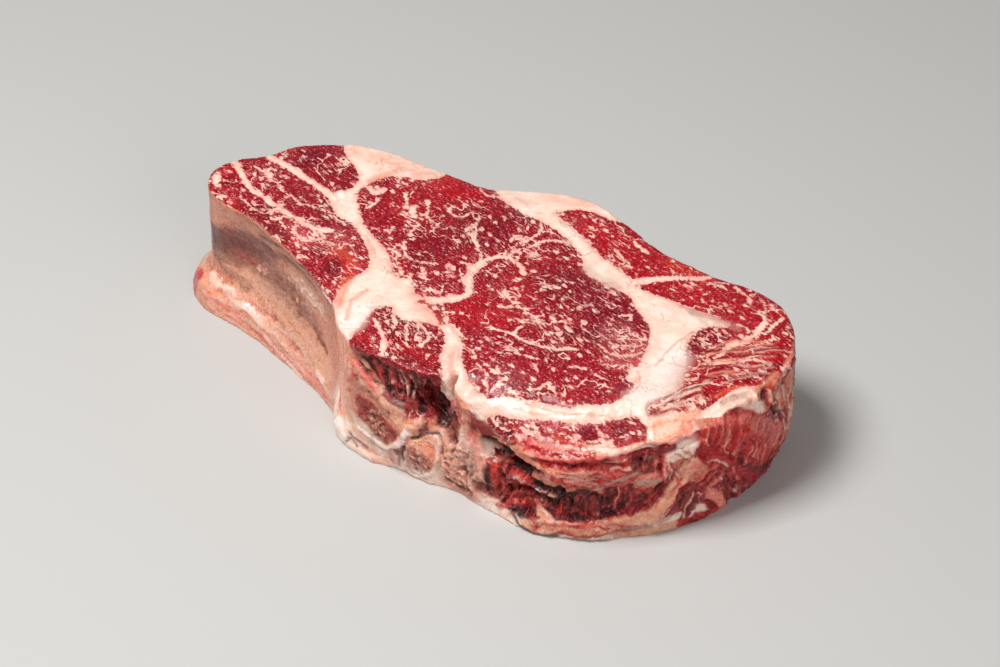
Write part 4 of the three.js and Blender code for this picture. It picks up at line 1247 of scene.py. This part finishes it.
def placesInFlesh():
    # millimetres; the same along the grain of the meat; drawn out along it; and along the rib
    place = add("ShaderNodeTexCoord").outputs["Object"]
    even = add("ShaderNodeMapping", {"Vector": place, "Scale": (1000, 1000, 1000)}).outputs[0]
    grain = add("ShaderNodeMapping", {"Vector": pushed(even, 50, 16), "Rotation": (0, 0, lie["turn"]),
                                      "Scale": lie["stretch"]}, vector_type="TEXTURE").outputs[0]
    drawn = add("ShaderNodeMapping", {"Vector": grain, "Scale": lie["drawn"]}).outputs[0]
    rows = add("ShaderNodeMapping", {"Vector": place, "Rotation": lie["rowTurn"],
                                     "Scale": lie["rows"]}).outputs[0]
    return even, grain, drawn, rows


def marbling(even, grain, drawn):
    # fine dots, the chance of each, and the flecks, drawn-out streaks and thin wandering lines together
    patch = total(noise(even, 15, 2), times(attribute("marble"), 0.22))
    fine, fineChance = spots(pushed(grain, 1.5, 0.9), 0.95)
    dots = times(between(total(fine, swing(noise(grain, 0.4, 2, 0.7), 0.9)), 0.45, 0.18),
                 between(fineChance, 0.15, 0.85, (0.1, 0.9)))
    wide, wideChance = spots(pushed(grain, 1.5, 1.8), 3.1)
    flecks = times(between(total(wide, times(noise(drawn, 0.55, 3, 0.7), 0.9)), 0.8, 0.64),
                   between(total(wideChance, times(patch, 0.9)), 1.02, 1.12))
    streaks = times(between(total(noise(drawn, 0.8, 2, 0.6), times(patch, 0.24)), 0.76, 0.84),
                    between(patch, 0.45, 0.75, (0.2, 0.9)))
    lines = times(between(ridge(noise(pushed(grain, 3, 3), 8, 2, 0.5)), 0.95, 0.985),
                  between(total(noise(even, 8, 2), times(patch, 0.5)), 0.78, 0.9))
    return dots, fineChance, calc("MAXIMUM", calc("MAXIMUM", flecks, times(streaks, 0.85)), times(lines, 0.9))


def meatColour(even, drawn, bundle):
    base = mix(between(bundle, 0.38, 0.62), shade("garnet", 0.7), shade("flesh", 0.82))
    # random redder and darker patches, and violet-grey patches that are painted sheen
    for size, detail, low, high, most, colour in (
            (22, 2, 0.5, 0.7, 0.35, shade("red")), (30, 1, 0.52, 0.7, 0.5, shade("maroon", 1.6)),
            (26, 1, 0.55, 0.75, 0.14, shade("violet"))):
        base = mix(between(noise(even, size, detail), low, high, (0, most)), base, colour)
    return mix(between(noise(drawn, 0.3, 2, 0.6), 0.5, 0.64, (0, 0.42)), base, shade("rose"))


def fatColour(even, fray):
    # also says where its creases are
    wrinkle = ridge(noise(pushed(even, 6, 4), 12, 3, 0.6))
    creases = times(between(wrinkle, 0.965, 1.0), between(noise(even, 17, 1), 0.48, 0.62))
    plain = mix(between(noise(even, 11, 3), 0.35, 0.65), shade("fat"), shade("cream"))
    # painted shade: the creases are tinted tan over their dent
    plain = mix(times(creases, 0.3), plain, shade("tan"))
    plain = mix(between(noise(even, 0.9, 2), 0.52, 0.75, (0, 0.4)), plain, shade("white"))
    plain = mix(between(noise(even, 3.2, 3), 0.56, 0.75, (0, 0.3)), plain, shade("pink"))
    return mix(between(fray, -2.2, -0.2, (0, 0.4)), plain, shade("pink")), creases


def makeFlesh():
    for name in ("Pores", "Streaks"):
        flesh.interface.new_socket(name, in_out="INPUT", socket_type="NodeSocketFloat")
    for name, kind in (("Color", "Color"), ("Roughness", "Float"), ("Normal", "Vector")):
        flesh.interface.new_socket(name, in_out="OUTPUT", socket_type="NodeSocket" + kind)
    given = add("NodeGroupInput").outputs
    even, grain, drawn, rowPlaces = placesInFlesh()
    ragged = attribute("ragged")
    tint = add("ShaderNodeAttribute", attribute_name="tint")

    # meat and fat, and where one frays into the other
    fray = total(attribute("lean"), swing(noise(grain, 1.3, 3, 0.6), 3.4), swing(noise(drawn, 0.6, 1), 1.4))
    meat = between(fray, -0.25, 0.35)
    dots, chance, pale = marbling(even, grain, drawn)
    light = mix(between(noise(even, 2.5, 1), 0.3, 0.56), shade("rosy"), shade("fat"))
    specks = mix(between(chance, 0.6, 1.0), mix(0.5, shade("rosy"), shade("blood")), shade("rosy"))
    bundle = noise(grain, 0.75, 2, 0.6)
    base = mix(times(dots, 0.75), meatColour(even, drawn, bundle), specks)
    plain, creases = fatColour(even, fray)
    colour = mix(meat, plain, mix(pale, base, light))

    # the painted parts: meat where they are dark, fat or skin where they are pale
    bright = add("ShaderNodeRGBToBW", {0: tint.outputs["Color"]}).outputs[0]
    dark = between(bright, 0.36, 0.1)
    bent = calc("MULTIPLY_ADD", noise(even, 9, 2), 7.0, attribute("across"))
    fibreAt = add("ShaderNodeCombineXYZ", {0: bent, 1: times(noise(even, 14, 1), 6.0), 2: 0.0}).outputs[0]
    fibres = noise(fibreAt, 1.1, 3, 0.65)
    threads = times(between(ridge(noise(fibreAt, 3.1, 2)), 0.9, 0.97), dark, ragged,
                    between(noise(even, 4.5, 2), 0.45, 0.6))
    mottle = noise(even, 3.0, 3, 0.6)
    rows = noise(rowPlaces, 1.1, 3, 0.6)
    change = total(times(off(fibres), times(dark, ragged), 2.2), times(off(noise(even, 0.8, 2, 0.6)), 1.0),
                   times(off(mottle), 0.9), times(off(rows), given["Streaks"], 1.1))
    # low values deepen a colour, high ones turn it to pale tissue
    deep = add("ShaderNodeGamma", {0: tint.outputs["Color"], 1: 1.75}).outputs[0]
    tissue = mix(0.45, tint.outputs["Color"], mix(dark, shade("fat"), shade("rose")))
    painted = mix(between(change, 0.12, -0.28), tint.outputs["Color"], deep)
    painted = mix(times(between(change, 0.1, 0.42), rest(times(dark, 0.92))), painted, tissue)
    # garnet deepens the dark paint but spares the darkest, which is painted shadow
    painted = mix(times(between(bundle, 0.35, 0.65, (0.45, 0)), dark, between(bright, 0.002, 0.03)), painted,
                  shade("garnet"))
    painted = mix(times(dots, dark, 0.12), painted, specks)
    painted = mix(times(threads, 0.6), painted, shade("rose"))
    streakAt = add("ShaderNodeCombineXYZ", {0: bent, 1: times(noise(even, 8, 1), 10.0), 2: 0.0}).outputs[0]
    skin = times(between(noise(streakAt, 2.4, 4, 0.65), 0.4, 0.75), rest(dark), ragged)
    painted = mix(times(skin, 0.45), painted, shade("rose"))
    painted = mix(times(between(mottle, 0.55, 0.75), rest(dark), 0.35), painted, shade("rose"))
    hole, holeChance = spots(pushed(even, 1.2, 0.8), 1.15)
    pits = times(between(hole, 0.45, 0.2), between(holeChance, 0.3, 0.8), given["Pores"],
                 between(bright, 0.5, 0.2))
    painted = mix(times(pits, 0.85), painted, shade("maroon"))
    face = rest(attribute("wall"))
    shown = times(tint.outputs["Alpha"], rest(times(face, dark, rest(meat))))
    colour = mix(shown, colour, painted)
    colour = mix(times(dots, meat, face, 0.35), colour, specks)
    colour = mix(times(pale, meat, face, 0.9), colour, light)

    rough = total(between(noise(even, 1.3, 2), 0.3, 0.7, (0.18, 0.36)), times(given["Pores"], 0.12))
    # relief, in millimetres
    height = total(times(total(times(pale, 0.14), times(dots, 0.1), times(bundle, 0.45)), meat),
                   times(noise(even, 0.75, 2, 0.6), 0.22), times(noise(even, 3.5, 3), 0.4),
                   times(creases, rest(meat), -0.5), times(fibres, dark, ragged, 1.3), times(threads, 0.3),
                   times(skin, shown, -0.5), times(pits, -0.7), times(rows, given["Streaks"], 0.25))
    bump = add("ShaderNodeBump", {"Strength": 0.6, "Distance": mm, "Height": height})
    add("NodeGroupOutput", {"Color": colour, "Roughness": rough, "Normal": bump.outputs[0]})


finish = {  # of each slot: specular level, coat weight, coat roughness, pores, lengthwise streaks
    "lean_meat": (0.16, 0.2, 0.12, 0, 0), "fibrous_meat": (0.16, 0.25, 0.12, 0, 0),
    "fat": (0.26, 0.2, 0.15, 0, 0), "rib_membrane": (0.4, 0.3, 0.18, 0, 0.12),
    "flap_membrane": (0.45, 0.35, 0.14, 0, 0.12), "sawn_bone": (0.3, 0.08, 0.3, 1, 0),
    "cartilage": (0.4, 0.4, 0.15, 0, 0),
}


def makeMaterial(slot):
    material = bpy.data.materials.new(slot)
    material.use_nodes = True
    tree = material.node_tree
    shader = tree.nodes["Principled BSDF"]
    group = tree.nodes.new("ShaderNodeGroup")
    group.node_tree = flesh
    for name, socket in (("Color", "Base Color"), ("Roughness", "Roughness"), ("Normal", "Normal")):
        tree.links.new(group.outputs[name], shader.inputs[socket])
    specular, coat, coatRough, pores, streaks = finish[slot]
    group.inputs["Pores"].default_value = pores
    group.inputs["Streaks"].default_value = streaks
    shader.inputs["Specular IOR Level"].default_value = specular
    shader.inputs["Coat Weight"].default_value = coat
    shader.inputs["Coat Roughness"].default_value = coatRough
    return material


# camera, light, floor

light = {
    "key": {"place": (-300, -400, 1180), "size": 480, "power": 17},
    "fill": {"place": (950, -600, 600), "size": 800, "power": 4.5},
    "sky": 0.15,
}
ground = {"half": 3, "colour": (0.55, 0.54, 0.52, 1), "roughness": 0.8}


def makeCamera():
    data = bpy.data.cameras.new("camera")
    data.lens = view["lens"]
    data.sensor_width = view["sensor"]
    data.clip_start = 0.05
    camera = newObject("camera", data)
    camera.rotation_mode = "QUATERNION"
    camera.location, camera.rotation_quaternion = cameraPose()
    scene.camera = camera


def makeLight():
    for name in ("key", "fill"):
        data = bpy.data.lights.new(name, "AREA")
        data.energy = light[name]["power"]
        data.size = light[name]["size"] * mm
        lamp = newObject(name, data)
        lamp.location = Vector(light[name]["place"]) * mm
        lamp.rotation_mode = "QUATERNION"
        lamp.rotation_quaternion = (-lamp.location).to_track_quat("-Z", "Y")
    world = bpy.data.worlds.new("studio")
    world.use_nodes = True
    background = world.node_tree.nodes["Background"]
    background.inputs["Color"].default_value = (1, 1, 1, 1)
    background.inputs["Strength"].default_value = light["sky"]
    scene.world = world
    scene.view_settings.view_transform = "Standard"


def makeFloor():
    bm = bmesh.new()
    bmesh.ops.create_grid(bm, x_segments=1, y_segments=1, size=ground["half"])
    mesh = bpy.data.meshes.new("floor")
    bm.to_mesh(mesh)
    bm.free()
    floor = newObject("floor", mesh)
    material = bpy.data.materials.new("paleFloor")
    material.use_nodes = True
    shader = material.node_tree.nodes["Principled BSDF"]
    shader.inputs["Base Color"].default_value = ground["colour"]
    shader.inputs["Roughness"].default_value = ground["roughness"]
    mesh.materials.append(material)


# build

makeCamera()
makeLight()
makeFloor()
blank = makeBlank()
points = vectors(blank.data.vertices, "co") / mm
normals = vectors(blank.data.vertex_normals, "vector")
print("blank:", len(points), "points")
about = describe(points, normals)
print("described")
points += normals * about["lift"][:, None]
points[:, 2] = np.maximum(points[:, 2], 0)
blank.data.vertices.foreach_set("co", (points * mm).ravel())
blank.data.update()
kd = KDTree(len(points))
for i, point in enumerate(points * mm):
    kd.insert(Vector(point), i)
kd.balance()
print("carved")

makeFlesh()
materials = {slot: makeMaterial(slot) for slot in finish}
blank.data.materials.clear()
blank.data.materials.append(materials["fat"])
left = blank
for node in [*bones, *muscles]:
    cutter = cutterFor(node, treeOf([n for n in nodes if n != node]))
    piece = cutPiece(left, cutter, node + "_piece", "INTERSECT")
    remains = cutPiece(left, cutter, "seam_fat_piece", "DIFFERENCE")
    bpy.data.objects.remove(cutter)
    bpy.data.objects.remove(left)
    left = remains
    finishPiece(piece, kd, about, materials[slots.get(node, "lean_meat")], node)
    print(node, len(piece.data.vertices))
finishPiece(left, kd, about, materials["fat"], "seam_fat")
print("seam_fat", len(left.data.vertices))
